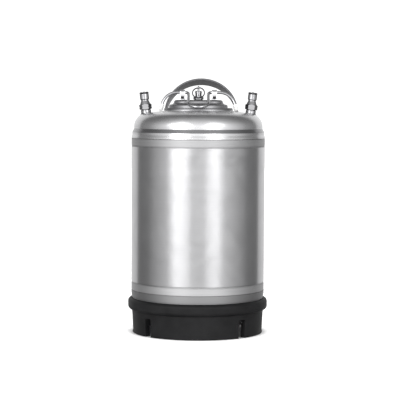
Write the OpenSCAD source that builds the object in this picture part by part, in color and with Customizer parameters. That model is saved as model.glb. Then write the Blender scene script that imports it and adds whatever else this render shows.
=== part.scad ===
// Ball lock keg: a slim stainless drink keg with a rubber base boot, an oval lid held by a wire bail,
// a pull-ring relief valve, two ball lock posts with dip tubes, and a welded strap handle.
// Millimetres, +Z up, the origin on the floor under the middle of the keg, the front towards -Y.

/* [Vessel] */
// Outside diameter of the rolled body shell
shell_d = 215.9; // [210:0.1:222]
// Wall of the rolled body shell
shell_wall = 1.2; // [0.8:0.1:2]
// Length of the body shell between its two girth welds
shell_len = 245; // [180:1:480]
// Height of the lower girth weld above the floor
lower_weld_z = 70; // [68:0.5:90]
// Wall of the pressed top and bottom heads
head_wall = 1.5; // [1:0.1:2]

/* [Top head] */
// Outside diameter of the neck above the joggle
neck_d = 208; // [204:0.1:209]
// Straight skirt between the upper weld and the flare
top_skirt = 2.2; // [1:0.1:10]
// Height of the flare that steps the skirt in to the collar
flare_h = 4; // [3:0.1:8]
// Step of the flare, from the skirt in to the collar
flare_in = 1.15; // [0.5:0.05:3]
// Straight part of the collar
collar_h = 4.4; // [1:0.1:10]
// Height of the joggle that steps the collar in to the neck
joggle_h = 5.2; // [4:0.1:12]
// Outside radius of the bends of the flare and the joggle
step_bend_r = 2; // [1:0.1:4]
// Straight part of the neck above the joggle
neck_straight = 2.85; // [1:0.05:20]
// Radius of the knuckle between neck and crown
knuckle_r = 22; // [14:0.5:26]
// Radius of the shallow crown
crown_r = 560; // [400:5:900]

/* [Bottom head] */
// Straight skirt between the lower weld and the knuckle
dish_skirt = 1.5; // [1:0.5:20]
// Radius of the bottom head's knuckle
dish_knuckle_r = 38; // [26:0.5:46]
// Radius of the bottom head's dish
dish_crown_r = 210; // [200:1:300]

/* [Base boot] */
// Height of the boot's top edge, the top of its bead
boot_h = 56.8; // [52:0.1:62]
// Height of the round bead round the boot's top
bead_h = 19; // [15:0.5:22]
// Outside diameter over the bead
bead_d = 226.4; // [222:0.1:232]
// Radius of the bead's rounded edges
bead_edge_r = 6.2; // [4:0.1:7]
// Outside diameter of the wall just under the bead
boot_wall_top_d = 213.6; // [210:0.1:218]
// Outside diameter of the wall just above the foot lip
boot_wall_low_d = 209.8; // [206:0.1:216]
// Outside diameter of the lip at the floor
boot_lip_d = 211.4; // [208:0.1:218]
// Height of the lip at the floor
boot_lip_h = 2.4; // [1:0.1:5]
// Inside diameter of the boot at the floor
boot_in_d = 192; // [180:0.5:200]
// Width of a drain slot
slot_w = 13; // [6:0.5:20]
// Height of a drain slot
slot_h = 29.5; // [10:0.5:32]
// Radius of a drain slot's upper corners
slot_corner_r = 2.5; // [1:0.1:3]
// Turn of the four drain slots from the diagonals, in degrees
slot_turn = -3; // [-20:1:20]

/* [Carry handle] */
// Width of the handle strap
handle_w = 25.4; // [16:0.1:28]
// Thickness of the handle strap
handle_t = 3; // [2:0.1:5]
// Outside radius of the handle's arch
handle_r = 60.4; // [56:0.1:66]
// Lean of the handle towards the back, in degrees
handle_lean = 20; // [10:1:26]
// Height of the handle's top edge above the top of the crown
handle_rise = 50.5; // [46:0.5:54]
// Distance of the strap's feet behind the middle of the keg
handle_back = 45; // [40:0.5:56]
// Sideways offset of the welded handle
handle_shift = 4.8; // [-6:0.1:6]

/* [Mouth] */
// Length of the oval mouth from side to side
mouth_len = 97.2; // [92:0.1:100]
// Width of the oval mouth from front to back
mouth_wid = 79.4; // [78:0.1:82]
// Height of the rim above the top of the crown
rim_rise = 2.06; // [0:0.01:3]
// Width of the flat rim round the mouth
rim_w = 7; // [5:0.1:8]
// Radius of the rim's rolled edges
rim_edge_r = 2; // [1.6:0.1:2.4]
// Depth of the lip turned down into the mouth
lip_depth = 7; // [4:0.1:9]

/* [Lid] */
// Wall of the pressed lid
lid_wall = 1.7; // [1.2:0.1:2]
// Gap between the lid's pan and the mouth, all round
lid_gap = 1.2; // [0.6:0.1:2]
// Height of the lid's shoulder above the rim
shoulder_rise = 5.54; // [4:0.01:9]
// Radius of the lid's shoulder
shoulder_r = 3; // [2.2:0.1:4]
// Height of the plateau above the shoulder
plateau_h = 7.3; // [5:0.1:8]
// Length of the plateau at its foot
plateau_len = 85; // [80:0.5:86]
// Width of the plateau at its foot
plateau_wid = 42; // [40:0.5:44]
// How far the plateau's side slopes in
plateau_slope = 5.5; // [3:0.1:6]
// Width of the flange that carries the lid's seal
flange_w = 6.3; // [5.9:0.1:8]
// Thickness of the lid's round seal
lid_seal_d = 6; // [4:0.1:6]

/* [Bail] */
// Diameter of the bail's wire
wire_d = 4.76; // [4:0.01:5]
// Height of the bail's pivot above the plateau
pivot_rise = 12; // [11:0.1:14]
// Distance of each bracket from the middle
bracket_x = 25.8; // [24:0.1:27]
// Width of a bracket along the pivot
bracket_w = 8.3; // [6:0.1:9]
// Thickness of a bracket's strap
bracket_t = 1.6; // [1:0.1:2]
// Reach of a bracket's feet from front to back
bracket_reach = 17; // [13:0.5:19]
// Width of the window in a bracket
window_w = 5.5; // [3:0.1:6]
// Height of the window in a bracket
window_h = 3.9; // [2:0.1:4.5]
// Height of the window's sill above the plateau
window_sill = 1.9; // [1.7:0.1:3]
// Length of the lever loop from the pivot
lever_len = 56; // [52:0.5:64]
// Distance between the middles of the lever loop's two wires
lever_w = 32.4; // [28:0.1:33]
// Slope of the closed lever loop, in degrees
lever_slope = 24; // [16:1:25]
// Radius of the bend from pivot to lever, on the wire's middle
lever_bend_r = 5; // [4:0.1:5.2]
// Straight pivot wire outside each bracket
pivot_stub = 4.5; // [1:0.1:8]
// Radius of each leg's bend, on the wire's middle
leg_bend_r = 25; // [20:0.5:25]
// Lean of the closed legs towards the front, in degrees
leg_lean = 10; // [8:1:16]
// Distance of each foot from the middle
foot_x = 60.8; // [60:0.1:64]
// Outside diameter of the sleeve on each foot
foot_d = 7.4; // [6:0.1:8]
// Straight length of the sleeve on each foot
foot_len = 7.5; // [5:0.1:8]

/* [Relief valve] */
// Hexagon of the relief valve's body, across its flats
prv_hex = 14.3; // [13:0.1:15]
// Height of the relief valve's hexagon
prv_hex_h = 4; // [3:0.1:5]
// Diameter of the relief valve's body
prv_d = 11; // [10:0.1:12]
// Height of the relief valve's body above its hexagon
prv_body_h = 8; // [7:0.1:10]
// Diameter of the shank through the lid
prv_shank_d = 11.8; // [11:0.1:13]
// Length of the shank below the lid
prv_shank_l = 10; // [9:0.1:14]
// Diameter of the spring chamber
prv_bore = 7.8; // [7.2:0.1:8]
// Diameter of the pressure port
prv_port = 4.4; // [2:0.1:5]
// Depth of the valve seat below the plateau
prv_seat_depth = 2; // [1:0.1:3]
// Thickness of the cap above the body
prv_cap_h = 1.6; // [1:0.1:3]
// Depth of the cap's spigot in the chamber
prv_spigot = 2; // [1:0.1:3]
// Diameter of the pull stem
stem_d = 3.2; // [2.6:0.1:3.4]
// Diameter of the eye on the pull stem
eye_d = 5.4; // [5:0.1:6]
// Thickness of the flattened eye
eye_t = 3; // [2:0.1:3.4]
// Height of the eye above the cap
eye_rise = 5; // [4.5:0.1:8]
// Radius of the pull ring, on its middle
ring_r = 9.7; // [9.5:0.1:12]
// Diameter of the pull ring's wire, wound twice
ring_wire = 1.1; // [0.8:0.1:1.2]
// Lean of the hanging pull ring, in degrees
ring_lean = 33; // [32:1:45]
// Thickness of the gasket under the valve
gasket_t = 1; // [0.6:0.1:2]
// Outside diameter of the gasket under the valve
gasket_d = 14; // [13.6:0.1:18]
// Lock nut across its flats
prv_nut = 17; // [16:0.1:19]
// Thickness of the lock nut
prv_nut_h = 4.5; // [3:0.1:6]

/* [Posts] */
// Side of the gas post: -1 left, 1 right
gas_side = -1; // [-1, 1]
// Distance of each post's foot from the keg's axis
post_r = 84.5; // [78:0.1:86]
// Lean of each post away from the keg's axis, in degrees
post_lean = 6.3; // [0:0.1:12]
// Outside diameter of the welded plug adapter's thread
plug_d = 15.08; // [14:0.01:15.2]
// Height of the plug adapter above the crown
plug_h = 11; // [10:0.1:13]
// Depth of the plug adapter below the crown's outside
plug_depth = 4; // [2.5:0.1:10]
// Bore of the plug adapter
plug_bore = 8.8; // [8.3:0.1:9.2]
// Diameter of the plug adapter's collar, under the post
plug_collar_d = 16.6; // [16:0.1:17.4]
// Reach of the weld fillet round the plug adapter's collar
plug_weld = 1.6; // [1:0.1:3]
// Hexagon of a post across its flats
post_hex = 17.46; // [17:0.01:19]
// Height of a post's hexagon
post_hex_h = 9; // [8:0.1:11]
// Height of the hexagon's underside above the crown
post_hex_z = 5.6; // [5:0.1:7]
// Diameter of a post's waist, the ball lock groove
waist_d = 12.6; // [12:0.1:13]
// Length of a post's waist
waist_h = 1.6; // [1:0.1:4]
// Diameter of the round head that a coupling slides over
post_d = 14.9; // [14.4:0.1:15.2]
// Length of the round head
post_head_h = 11.6; // [11:0.1:18]
// Length of the taper from hexagon to waist
post_taper = 5; // [1:0.1:6]
// Length of the shoulder from waist to round head
post_shoulder = 1.2; // [0.6:0.1:2]
// Bore for the poppet
poppet_bore = 9.2; // [8.8:0.1:9.4]
// Hole in the top of the post
post_mouth = 6.2; // [4.5:0.1:7]
// Thickness of the post's top lip
post_lip = 2.9; // [2:0.1:3.4]
// Thickness of the post's outer O-ring
post_ring_d = 2; // [1.6:0.1:2.2]
// How far the post's outer O-ring stands proud
post_ring_proud = 0.15; // [0.05:0.01:0.2]
// Distance of the O-ring's groove from the top of the post
post_ring_drop = 2; // [1.9:0.1:5]

/* [Poppets] */
// Diameter of a poppet's disc
poppet_d = 8.4; // [7.5:0.1:8.5]
// Thickness of a poppet's disc
poppet_t = 1.4; // [1:0.1:2]
// Diameter of a poppet's pin
poppet_pin = 3.2; // [2:0.1:3.8]
// Height of the pin's tip above the top of the post
poppet_proud = 0.5; // [-1:0.1:1]
// Length of the guide pin under the disc
poppet_tail = 7; // [3:0.1:8]
// Thickness of a poppet's seal
poppet_seal_t = 1; // [0.6:0.1:1.5]
// Wire of a poppet's spring
poppet_spring_wire = 0.8; // [0.5:0.1:0.9]
// Mean diameter of a poppet's spring
poppet_spring_d = 5.8; // [5.4:0.1:6.4]
// Turns of a poppet's spring
poppet_turns = 6; // [4:1:8]

/* [Dip tubes] */
// Outside diameter of a dip tube
tube_d = 7.94; // [6:0.01:8]
// Wall of a dip tube
tube_wall = 0.8; // [0.5:0.05:1.2]
// Diameter of the flange at a dip tube's top
tube_flange_d = 13.2; // [12.6:0.1:14]
// Thickness of the flange at a dip tube's top
tube_flange_t = 1.4; // [1:0.1:1.8]
// Thickness of a dip tube's O-ring
tube_ring_d = 1.7; // [1.4:0.1:1.8]
// Length of the short gas dip tube below the crown
gas_tube_len = 26; // [10:0.5:60]
// Height of the liquid dip tube's tip above the lowest point inside
tip_rise = 14; // [12:0.5:40]

/* [Clearances] */
// Clearance of welded pieces fitted over one another
weld_gap = 0.1; // [0.05:0.01:0.2]
// Clearance of the boot on the keg
boot_fit = 0.1; // [0.05:0.01:0.3]
// Clearance of the lid's seal under the mouth's lip
seal_gap = 0.25; // [0.1:0.01:0.4]
// Clearance of each foot above the crown
foot_gap = 0.3; // [0.2:0.01:0.5]
// Radial clearance of a running pin in its hole
run_fit = 0.07; // [0.03:0.01:0.1]
// Radial clearance of sliding pieces and threads
slide_fit = 0.1; // [0.05:0.01:0.15]
// End clearance of springs and seals
end_gap = 0.05; // [0.02:0.01:0.1]

/* [Hidden] */
$fn = 96;
cut = 1;

shell_r = shell_d / 2;
upper_weld_z = lower_weld_z + shell_len;

// Top head: flare and joggle are two equal bends each, with a straight slope between them
neck_r = neck_d / 2;
collar_r = shell_r - flare_in;
flare_z = upper_weld_z + top_skirt;
collar_z = flare_z + flare_h;
joggle_z = collar_z + collar_h;
neck_z = joggle_z + joggle_h;
knuckle_x = neck_r - knuckle_r;
knuckle_z = neck_z + neck_straight;
crown_z = knuckle_z - sqrt(pow(crown_r - knuckle_r, 2) - pow(knuckle_x, 2));
crown_top = crown_z + crown_r;
crown_edge = asin(knuckle_x / (crown_r - knuckle_r));

// Bottom head
dish_knuckle_x = shell_r - dish_knuckle_r;
dish_knuckle_z = lower_weld_z - dish_skirt;
dish_z = dish_knuckle_z + sqrt(pow(dish_crown_r - dish_knuckle_r, 2) - pow(dish_knuckle_x, 2));
dish_low = dish_z - dish_crown_r;
dish_edge = asin(dish_knuckle_x / (dish_crown_r - dish_knuckle_r));

// Base boot: its inner face keeps the foot's wall up to the bead, and a web under the dish joins the two
lip_slope = 1.5;
boot_web = 3;
boot_wall = (boot_wall_low_d - boot_in_d) / 2;
boot_in_top_r = boot_wall_top_d / 2 - boot_wall;
boot_web_r = boot_wall_top_d / 2 - boot_wall / 2;

// Mouth and lid
rim_z = round((crown_top + rim_rise) * 100) / 100;
rim_outer_x = mouth_len / 2 + rim_w;
rim_sink = 0.3;
rim_meet_z = crown_z + sqrt(pow(crown_r - head_wall, 2) - pow(rim_outer_x, 2));
rim_foot_z = round((rim_meet_z - rim_sink) * 100) / 100;
mouth = [mouth_len, mouth_wid];
plateau = [plateau_len, plateau_wid];
flange_z = rim_z - lip_depth - seal_gap - lid_seal_d;
shoulder_z = rim_z + shoulder_rise;
plateau_z = shoulder_z + plateau_h;

// Bail: the feet rest on the crown, and the legs are one bend and one straight run to reach them
wire_r = wire_d / 2;
pivot_z = plateau_z + pivot_rise;
pivot_bore_r = wire_r + run_fit;
leg_x = bracket_x + bracket_w / 2 + pivot_stub;
foot_r = foot_d / 2;
foot_reach = crown_r + foot_r + foot_gap;
pivot_over = pivot_z - crown_z;
lean_sq = 1 + pow(tan(leg_lean), 2);
foot_free = pow(pivot_over, 2) - lean_sq * (pow(pivot_over, 2) + pow(foot_x, 2) - pow(foot_reach, 2));
foot_drop = (pivot_over - sqrt(foot_free)) / lean_sq;
leg_drop = foot_drop / cos(leg_lean);
leg_span = [foot_x - leg_x, leg_drop - leg_bend_r];
leg_run = sqrt(pow(norm(leg_span), 2) - pow(leg_bend_r, 2));
leg_turn = atan2(leg_span[1], leg_span[0]) + atan2(leg_bend_r, leg_run);
lever_plane = 180 + lever_slope;
leg_plane = 270 - leg_lean;
joint_proud = 0.003;

// Carry handle
handle_foot_r = norm([handle_r, handle_back]);
handle_foot_z = crown_z + sqrt(pow(crown_r, 2) - pow(handle_foot_r, 2));
handle_z = crown_top + handle_rise - handle_r * cos(handle_lean) - handle_w / 2 * sin(handle_lean);
handle_y = handle_back - (handle_foot_z - handle_z) * tan(handle_lean);
handle_below = knuckle_r / 2;

// Relief valve, heights above the plateau
prv_hex_z = gasket_t;
prv_body_z = prv_hex_z + prv_hex_h;
prv_top_z = prv_body_z + prv_body_h;
prv_cap_z = prv_top_z + prv_cap_h;
prv_seat_z = -prv_seat_depth;
prv_seal_t = 1.4;
disc_t = 1.2;
disc_z = prv_seat_z + prv_seal_t + end_gap;
disc_room = 0.5;
disc_d = prv_bore - 2 * disc_room;
eye_z = prv_cap_z + eye_rise;
prv_spring_wire = 0.7;
prv_spring_d = (stem_d + prv_bore) / 2;
prv_spring_z = disc_z + disc_t + end_gap;
prv_spring_top = prv_top_z - prv_spigot - end_gap;
prv_turns = 5;
vent_d = 2.2;
vent_sill = 2;
vent_z = prv_body_z + vent_sill;
ring_lap = 0.1;
ring_play = 0.6;
ring_pitch = ring_wire - ring_lap;
ring_hole_d = ring_pitch + ring_wire + ring_play;

// Posts, heights above the crown along each post's axis
post_z = crown_z + sqrt(pow(crown_r, 2) - pow(post_r, 2));
collar_room = 0.5;
plug_collar_h = post_hex_z - collar_room;
taper_step = 0.3;
taper_z = post_hex_z + post_hex_h;
waist_z = taper_z + post_taper;
head_z = waist_z + waist_h;
head_full_z = head_z + post_shoulder;
post_top = head_z + post_head_h + post_shoulder;
tube_ring_z = plug_h;
tube_flange_z = tube_ring_z + tube_ring_d;
thread_top = tube_flange_z + tube_flange_t + slide_fit;
poppet_seat_z = post_top - post_lip;
poppet_seal_z = poppet_seat_z - end_gap - poppet_seal_t;
poppet_z = poppet_seal_z - poppet_t;
post_ring_r = post_d / 2 + post_ring_proud - post_ring_d / 2;
post_ring_z = post_top - post_ring_drop;
post_chamfer = 0.5;
spring_foot_z = tube_flange_z + tube_flange_t + end_gap;
spring_top_z = poppet_z - end_gap;
tip_z = dish_low + head_wall + tip_rise;
liquid_tube_len = (post_z - tip_z) / cos(post_lean);
bend_steps = 6;
least_step = 0.02;
least_bend = 0.3;
whole_bend = 0.999;
knuckle_steps = 12;
crown_steps = 10;
spring_per_turn = 14;
spring_sides = 6;

steel = "silver";
bright = "gainsboro";
rubber = "#222222";
nylon = "whitesmoke";

// A flat profile of [outward offset, height] swept round an oval with round ends, [length, width]
module oval_sweep(o) {
    end_x = (o[0] - o[1]) / 2;
    for (s = [-1, 1]) {
        translate([s * end_x, 0, 0]) rotate([0, 0, s * 90 - 180])
            rotate_extrude(angle = 180) translate([o[1] / 2, 0]) children();
        rotate([0, 0, s * 90]) translate([0, end_x, 0]) rotate([90, 0, 0])
            linear_extrude(2 * end_x) translate([o[1] / 2, 0]) children();
    }
}

// The flat oval itself, moved out by an offset
module oval_flat(o, out) {
    end_x = (o[0] - o[1]) / 2;
    end_r = o[1] / 2 + out;
    translate([-end_x, -end_r]) square([2 * end_x, 2 * end_r]);
    for (s = [-1, 1]) translate([s * end_x, 0]) rotate(s * 90 - 90) intersection() {
        circle(r = end_r);
        translate([0, -2 * end_r]) square([2 * end_r, 4 * end_r]);
    }
}

// A quarter disc in the quadrant given by the signs
module quarter(r, sx, sy) {
    intersection() {
        circle(r = r);
        translate([sx < 0 ? -r - cut : 0, sy < 0 ? -r - cut : 0]) square(r + cut);
    }
}

function arc(x, z, r, from, to, steps) = [for (i = [0 : steps])
    let (a = from + (to - from) * i / steps) [x + r * cos(a), z + r * sin(a)]];
function backwards(points) = [for (i = [len(points) - 1 : -1 : 0]) points[i]];

// A step from radius r1 at height z1 in to radius r2 at height z2, its wall side moved in by t
function step_in(r1, z1, r2, z2, t) = let (
    in = max(abs(r1 - r2), least_step),
    room = (pow(z2 - z1, 2) + pow(in, 2)) / (4 * in),
    b = min(max(step_bend_r, head_wall + least_bend), whole_bend * room),
    across = 2 * b - in,
    side = r1 < r2 ? -1 : 1,
    bend = side * b,
    turn = side * (atan2(z2 - z1, across) - acos(2 * b / norm([across, z2 - z1])))) concat(
        arc(r1 - bend, z1, bend - t, 0, turn, bend_steps),
        arc(r2 + bend, z2, bend + t, 180 + turn, 180, bend_steps));

// Half outline of the top head from the weld up to the axis, its wall side moved in by t
function top_outline(t) = concat(
    [[shell_r - t, upper_weld_z]],
    step_in(shell_r, flare_z, collar_r, collar_z, t),
    step_in(collar_r, joggle_z, neck_r, neck_z, t),
    arc(knuckle_x, knuckle_z, knuckle_r - t, 0, 90 - crown_edge, knuckle_steps),
    arc(0, crown_z, crown_r - t, 90 - crown_edge, 90, crown_steps));

// Half outline of the bottom head from the weld down to the axis, its wall side moved in by t
function bottom_outline(t) = concat(
    [[shell_r - t, lower_weld_z]],
    arc(dish_knuckle_x, dish_knuckle_z, dish_knuckle_r - t, 0, dish_edge - 90, knuckle_steps),
    arc(0, dish_z, dish_crown_r - t, dish_edge - 90, -90, crown_steps));

// A pressed sheet between an outline and the same outline moved in by its wall
module pressed(outer, inner) {
    rotate_extrude() polygon(concat(outer, backwards(inner)));
}

// The outside of the top head, grown by a gap, for trimming what is welded on it
module top_block(gap) {
    rotate_extrude() polygon(concat([[0, upper_weld_z]], top_outline(-gap)));
}

// Moves a piece to the crown at a post's place, along the post's lean
module at_post(side) {
    translate([side * post_r, 0, post_z]) rotate([0, side * post_lean, 0]) children();
}

module tube(r_out, r_in, z0, z1) {
    translate([0, 0, z0]) difference() {
        cylinder(r = r_out, h = z1 - z0);
        translate([0, 0, -cut]) cylinder(r = r_in, h = z1 - z0 + 2 * cut);
    }
}

module torus(r_mid, d) {
    rotate_extrude() translate([r_mid, 0]) circle(d = d, $fn = 48);
}

function hex_r(flats) = flats / (2 * cos(30));

// Springs: one tube swept along a helix, with its least gap to itself
function coil_path(d, z0, z1, turns) = [for (i = [0 : turns * spring_per_turn])
    let (a = 360 * i / spring_per_turn)
    [d / 2 * cos(a), d / 2 * sin(a), z0 + (z1 - z0) * i / (turns * spring_per_turn)]];
function coil_gap(path, wire) = min([for (i = [0 : len(path) - 1])
    for (j = [i + spring_per_turn / 2 : 1 : len(path) - 1]) norm(path[i] - path[j])]) - wire;

module coil(d, wire, z0, z1, turns) {
    path = coil_path(d, z0 + wire / 2, z1 - wire / 2, turns);
    rise = atan((z1 - z0 - wire) / (turns * PI * d));
    n = len(path);
    points = [for (i = [0 : n - 1]) for (j = [0 : spring_sides - 1])
        let (a = 360 * i / spring_per_turn, q = 360 * j / spring_sides)
        path[i] + wire / 2 * (cos(q) * [cos(a), sin(a), 0]
            + sin(q) * [sin(a) * sin(rise), -cos(a) * sin(rise), cos(rise)])];
    walls = [for (i = [0 : n - 2]) for (j = [0 : spring_sides - 1])
        let (a = i * spring_sides + j, b = i * spring_sides + (j + 1) % spring_sides)
        each [[a, b, b + spring_sides], [a, b + spring_sides, a + spring_sides]]];
    first = [for (j = [1 : spring_sides - 2]) [0, j + 1, j]];
    last = [for (j = [1 : spring_sides - 2])
        let (o = (n - 1) * spring_sides) [o, o + j, o + j + 1]];
    echo(least_gap = coil_gap(path, wire));
    polyhedron(points = points, faces = concat(walls, first, last));
}

module body_shell() {
    color(steel) tube(shell_r, shell_r - shell_wall, lower_weld_z, upper_weld_z);
}

// Flat rim with a lip turned down into the mouth and an outer skirt that meets the crown
module rim_profile() {
    top = rim_z - rim_edge_r;
    translate([rim_edge_r, rim_z - head_wall]) square([rim_w - 2 * rim_edge_r, head_wall]);
    translate([rim_edge_r, top]) quarter(rim_edge_r, -1, 1);
    translate([rim_w - rim_edge_r, top]) quarter(rim_edge_r, 1, 1);
    translate([0, rim_z - lip_depth]) square([head_wall, lip_depth - rim_edge_r]);
    translate([rim_w - head_wall, rim_foot_z]) square([head_wall, top - rim_foot_z]);
}

module top_head() {
    color(steel) {
        difference() {
            pressed(top_outline(0), top_outline(head_wall));
            translate([0, 0, knuckle_z]) linear_extrude(2 * knuckle_r)
                oval_flat(mouth, rim_w - head_wall / 2);
            for (side = [-1, 1]) at_post(side)
                translate([0, 0, -plug_depth]) cylinder(d = plug_d + 2 * weld_gap, h = 2 * plug_depth);
        }
        oval_sweep(mouth) rim_profile();
    }
}

module bottom_head() {
    color(steel) pressed(bottom_outline(0), bottom_outline(head_wall));
}

module boot_profile() {
    bead_x = bead_d / 2 - bead_edge_r;
    bead_low = boot_h - bead_h;
    difference() {
        union() {
            polygon([[boot_in_d / 2, 0], [boot_lip_d / 2, 0], [boot_lip_d / 2, boot_lip_h],
                     [boot_wall_low_d / 2, boot_lip_h + lip_slope], [boot_wall_top_d / 2, bead_low],
                     [boot_wall_top_d / 2, boot_h], [boot_in_top_r, boot_h],
                     [boot_in_top_r, bead_low]]);
            translate([boot_in_top_r, bead_low]) square([bead_x - boot_in_top_r, bead_h]);
            translate([boot_in_top_r, bead_low + bead_edge_r])
                square([bead_d / 2 - boot_in_top_r, bead_h - 2 * bead_edge_r]);
            for (z = [bead_low + bead_edge_r, boot_h - bead_edge_r])
                translate([bead_x, z]) circle(r = bead_edge_r);
            intersection() {
                polygon(concat([[0, lower_weld_z]], bottom_outline(-boot_fit - boot_web)));
                translate([boot_web_r, 0]) square([bead_d / 2, boot_h - bead_edge_r]);
            }
        }
        polygon(concat([[0, lower_weld_z]], bottom_outline(-boot_fit)));
    }
}

module slot_shape() {
    translate([-slot_w / 2, -cut]) square([slot_w, slot_h - slot_corner_r + cut]);
    translate([-slot_w / 2 + slot_corner_r, -cut]) square([slot_w - 2 * slot_corner_r, slot_h + cut]);
    for (s = [-1, 1]) translate([s * (slot_w / 2 - slot_corner_r), slot_h - slot_corner_r])
        circle(r = slot_corner_r);
}

module base_boot() {
    color(rubber) difference() {
        rotate_extrude() boot_profile();
        for (i = [0 : 3]) rotate([0, 0, 45 + 90 * i + slot_turn])
            translate([0, -shell_r + shell_r / 4, 0]) rotate([90, 0, 0])
                linear_extrude(shell_r / 2) slot_shape();
    }
}

module carry_handle() {
    color(steel) difference() {
        translate([handle_shift, handle_y, handle_z]) rotate([90 - handle_lean, 0, 0])
            translate([0, 0, -handle_w / 2]) linear_extrude(handle_w) difference() {
                circle(r = handle_r, $fn = 2 * $fn);
                circle(r = handle_r - handle_t, $fn = 2 * $fn);
                translate([-2 * handle_r, -4 * handle_r])
                    square([4 * handle_r, 4 * handle_r - handle_below]);
            }
        top_block(weld_gap);
    }
}

// Threaded neck welded into the crown, with a collar and its weld fillet trimmed to the crown
module plug_adapter(side) {
    plug_collar_r = plug_collar_d / 2;
    fillet_r = plug_collar_r + 2 * plug_weld;
    color(steel) difference() {
        union() {
            at_post(side) translate([0, 0, -plug_depth]) cylinder(d = plug_d, h = plug_depth + plug_h);
            difference() {
                at_post(side) translate([0, 0, -plug_depth]) {
                    cylinder(r = plug_collar_r, h = plug_depth + plug_collar_h);
                    cylinder(r1 = fillet_r, r2 = plug_collar_r - plug_weld / 8,
                             h = plug_depth + plug_weld);
                }
                top_block(weld_gap);
            }
        }
        at_post(side) translate([0, 0, -plug_depth - cut])
            cylinder(d = plug_bore, h = plug_depth + plug_h + 2 * cut);
    }
}

module gas_plug_adapter() plug_adapter(gas_side);
module liquid_plug_adapter() plug_adapter(-gas_side);

// Ball lock post: a hexagon nut with a waist and a round head, with a notch round a gas post's corners
module post(side, notched) {
    hex_c = hex_r(post_hex);
    chamfer = hex_c - post_hex / 2;
    head_r = post_d / 2;
    taper_r = post_hex / 2 - taper_step;
    groove_r = post_ring_r - post_ring_d / 2;
    color(bright) at_post(side) difference() {
        union() {
            intersection() {
                translate([0, 0, post_hex_z]) cylinder(r = hex_c, h = post_hex_h, $fn = 6);
                translate([0, 0, post_hex_z]) cylinder(r1 = hex_c + post_hex_h - chamfer / 2,
                    r2 = post_hex / 2 + chamfer / 3, h = post_hex_h);
            }
            rotate_extrude() polygon([[0, taper_z - cut], [taper_r, taper_z - cut],
                [taper_r, taper_z], [waist_d / 2, waist_z], [waist_d / 2, head_z],
                [head_r, head_full_z], [head_r, post_ring_z - post_ring_d / 2 - slide_fit],
                [groove_r, post_ring_z - post_ring_d / 2 - slide_fit],
                [groove_r, post_ring_z + post_ring_d / 2 + slide_fit],
                [head_r, post_ring_z + post_ring_d / 2 + slide_fit],
                [head_r, post_top - post_chamfer], [head_r - post_chamfer, post_top], [0, post_top]]);
        }
        translate([0, 0, post_hex_z - cut])
            cylinder(r = plug_d / 2 + slide_fit, h = thread_top - post_hex_z + cut);
        translate([0, 0, thread_top - cut]) cylinder(d = poppet_bore, h = poppet_seat_z - thread_top + cut);
        translate([0, 0, poppet_seat_z - cut]) cylinder(d = post_mouth, h = post_lip + 2 * cut);
        if (notched) translate([0, 0, post_hex_z + post_hex_h / 2]) rotate_extrude()
            polygon([[post_hex / 2 + chamfer / 2, 0], [hex_c + cut, chamfer / 2 + cut],
                     [hex_c + cut, -chamfer / 2 - cut]]);
    }
}

module gas_post() post(gas_side, true);
module liquid_post() post(-gas_side, false);

module post_o_ring(side) {
    color(rubber) at_post(side) translate([0, 0, post_ring_z]) torus(post_ring_r, post_ring_d);
}

module gas_post_o_ring() post_o_ring(gas_side);
module liquid_post_o_ring() post_o_ring(-gas_side);

// Dip tube hung by its flange on the plug adapter
module dip_tube(side, length) {
    color(steel) at_post(side) {
        difference() {
            union() {
                translate([0, 0, -length]) cylinder(d = tube_d, h = length + tube_flange_z + cut);
                translate([0, 0, tube_flange_z]) cylinder(d = tube_flange_d, h = tube_flange_t);
            }
            translate([0, 0, -length - cut])
                cylinder(d = tube_d - 2 * tube_wall, h = length + thread_top + 2 * cut);
        }
    }
}

module gas_dip_tube() dip_tube(gas_side, gas_tube_len);
module liquid_dip_tube() dip_tube(-gas_side, liquid_tube_len);

module tube_o_ring(side) {
    mid = (plug_bore + tube_flange_d) / 4;
    color(rubber) at_post(side) translate([0, 0, tube_ring_z + tube_ring_d / 2]) torus(mid, tube_ring_d);
}

module gas_tube_o_ring() tube_o_ring(gas_side);
module liquid_tube_o_ring() tube_o_ring(-gas_side);

// Poppet: a disc on a pin that shows in the post's mouth, with a guide pin below
module poppet(side) {
    pin_top = post_top + poppet_proud;
    color(bright) at_post(side) {
        translate([0, 0, poppet_z]) cylinder(d = poppet_d, h = poppet_t);
        translate([0, 0, poppet_z - poppet_tail])
            cylinder(d = poppet_pin, h = pin_top - poppet_z + poppet_tail);
    }
}

module gas_poppet() poppet(gas_side);
module liquid_poppet() poppet(-gas_side);

module poppet_seal(side) {
    color(rubber) at_post(side) tube(poppet_d / 2, poppet_pin / 2 + slide_fit, poppet_seal_z,
                                     poppet_seal_z + poppet_seal_t);
}

module gas_poppet_seal() poppet_seal(gas_side);
module liquid_poppet_seal() poppet_seal(-gas_side);

module poppet_spring(side) {
    color(bright) at_post(side)
        coil(poppet_spring_d, poppet_spring_wire, spring_foot_z, spring_top_z, poppet_turns);
}

module gas_poppet_spring() poppet_spring(gas_side);
module liquid_poppet_spring() poppet_spring(-gas_side);

// Wall of the lid's pan with its seal flange and rounded shoulder
module pan_profile() {
    wall_x = -lid_gap - lid_wall;
    bend_x = -lid_gap - shoulder_r;
    translate([wall_x, flange_z - lid_wall]) square([lid_wall + flange_w, lid_wall]);
    translate([wall_x, flange_z]) square([lid_wall, shoulder_z - shoulder_r - flange_z]);
    translate([bend_x, shoulder_z - shoulder_r]) difference() {
        quarter(shoulder_r, 1, 1);
        circle(r = shoulder_r - lid_wall);
    }
}

// Sloping side of the plateau
module slope_profile() {
    polygon([[0, shoulder_z - lid_wall], [0, shoulder_z], [-plateau_slope, plateau_z],
             [-plateau_slope, plateau_z - lid_wall], [-lid_wall, shoulder_z - lid_wall]]);
}

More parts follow.
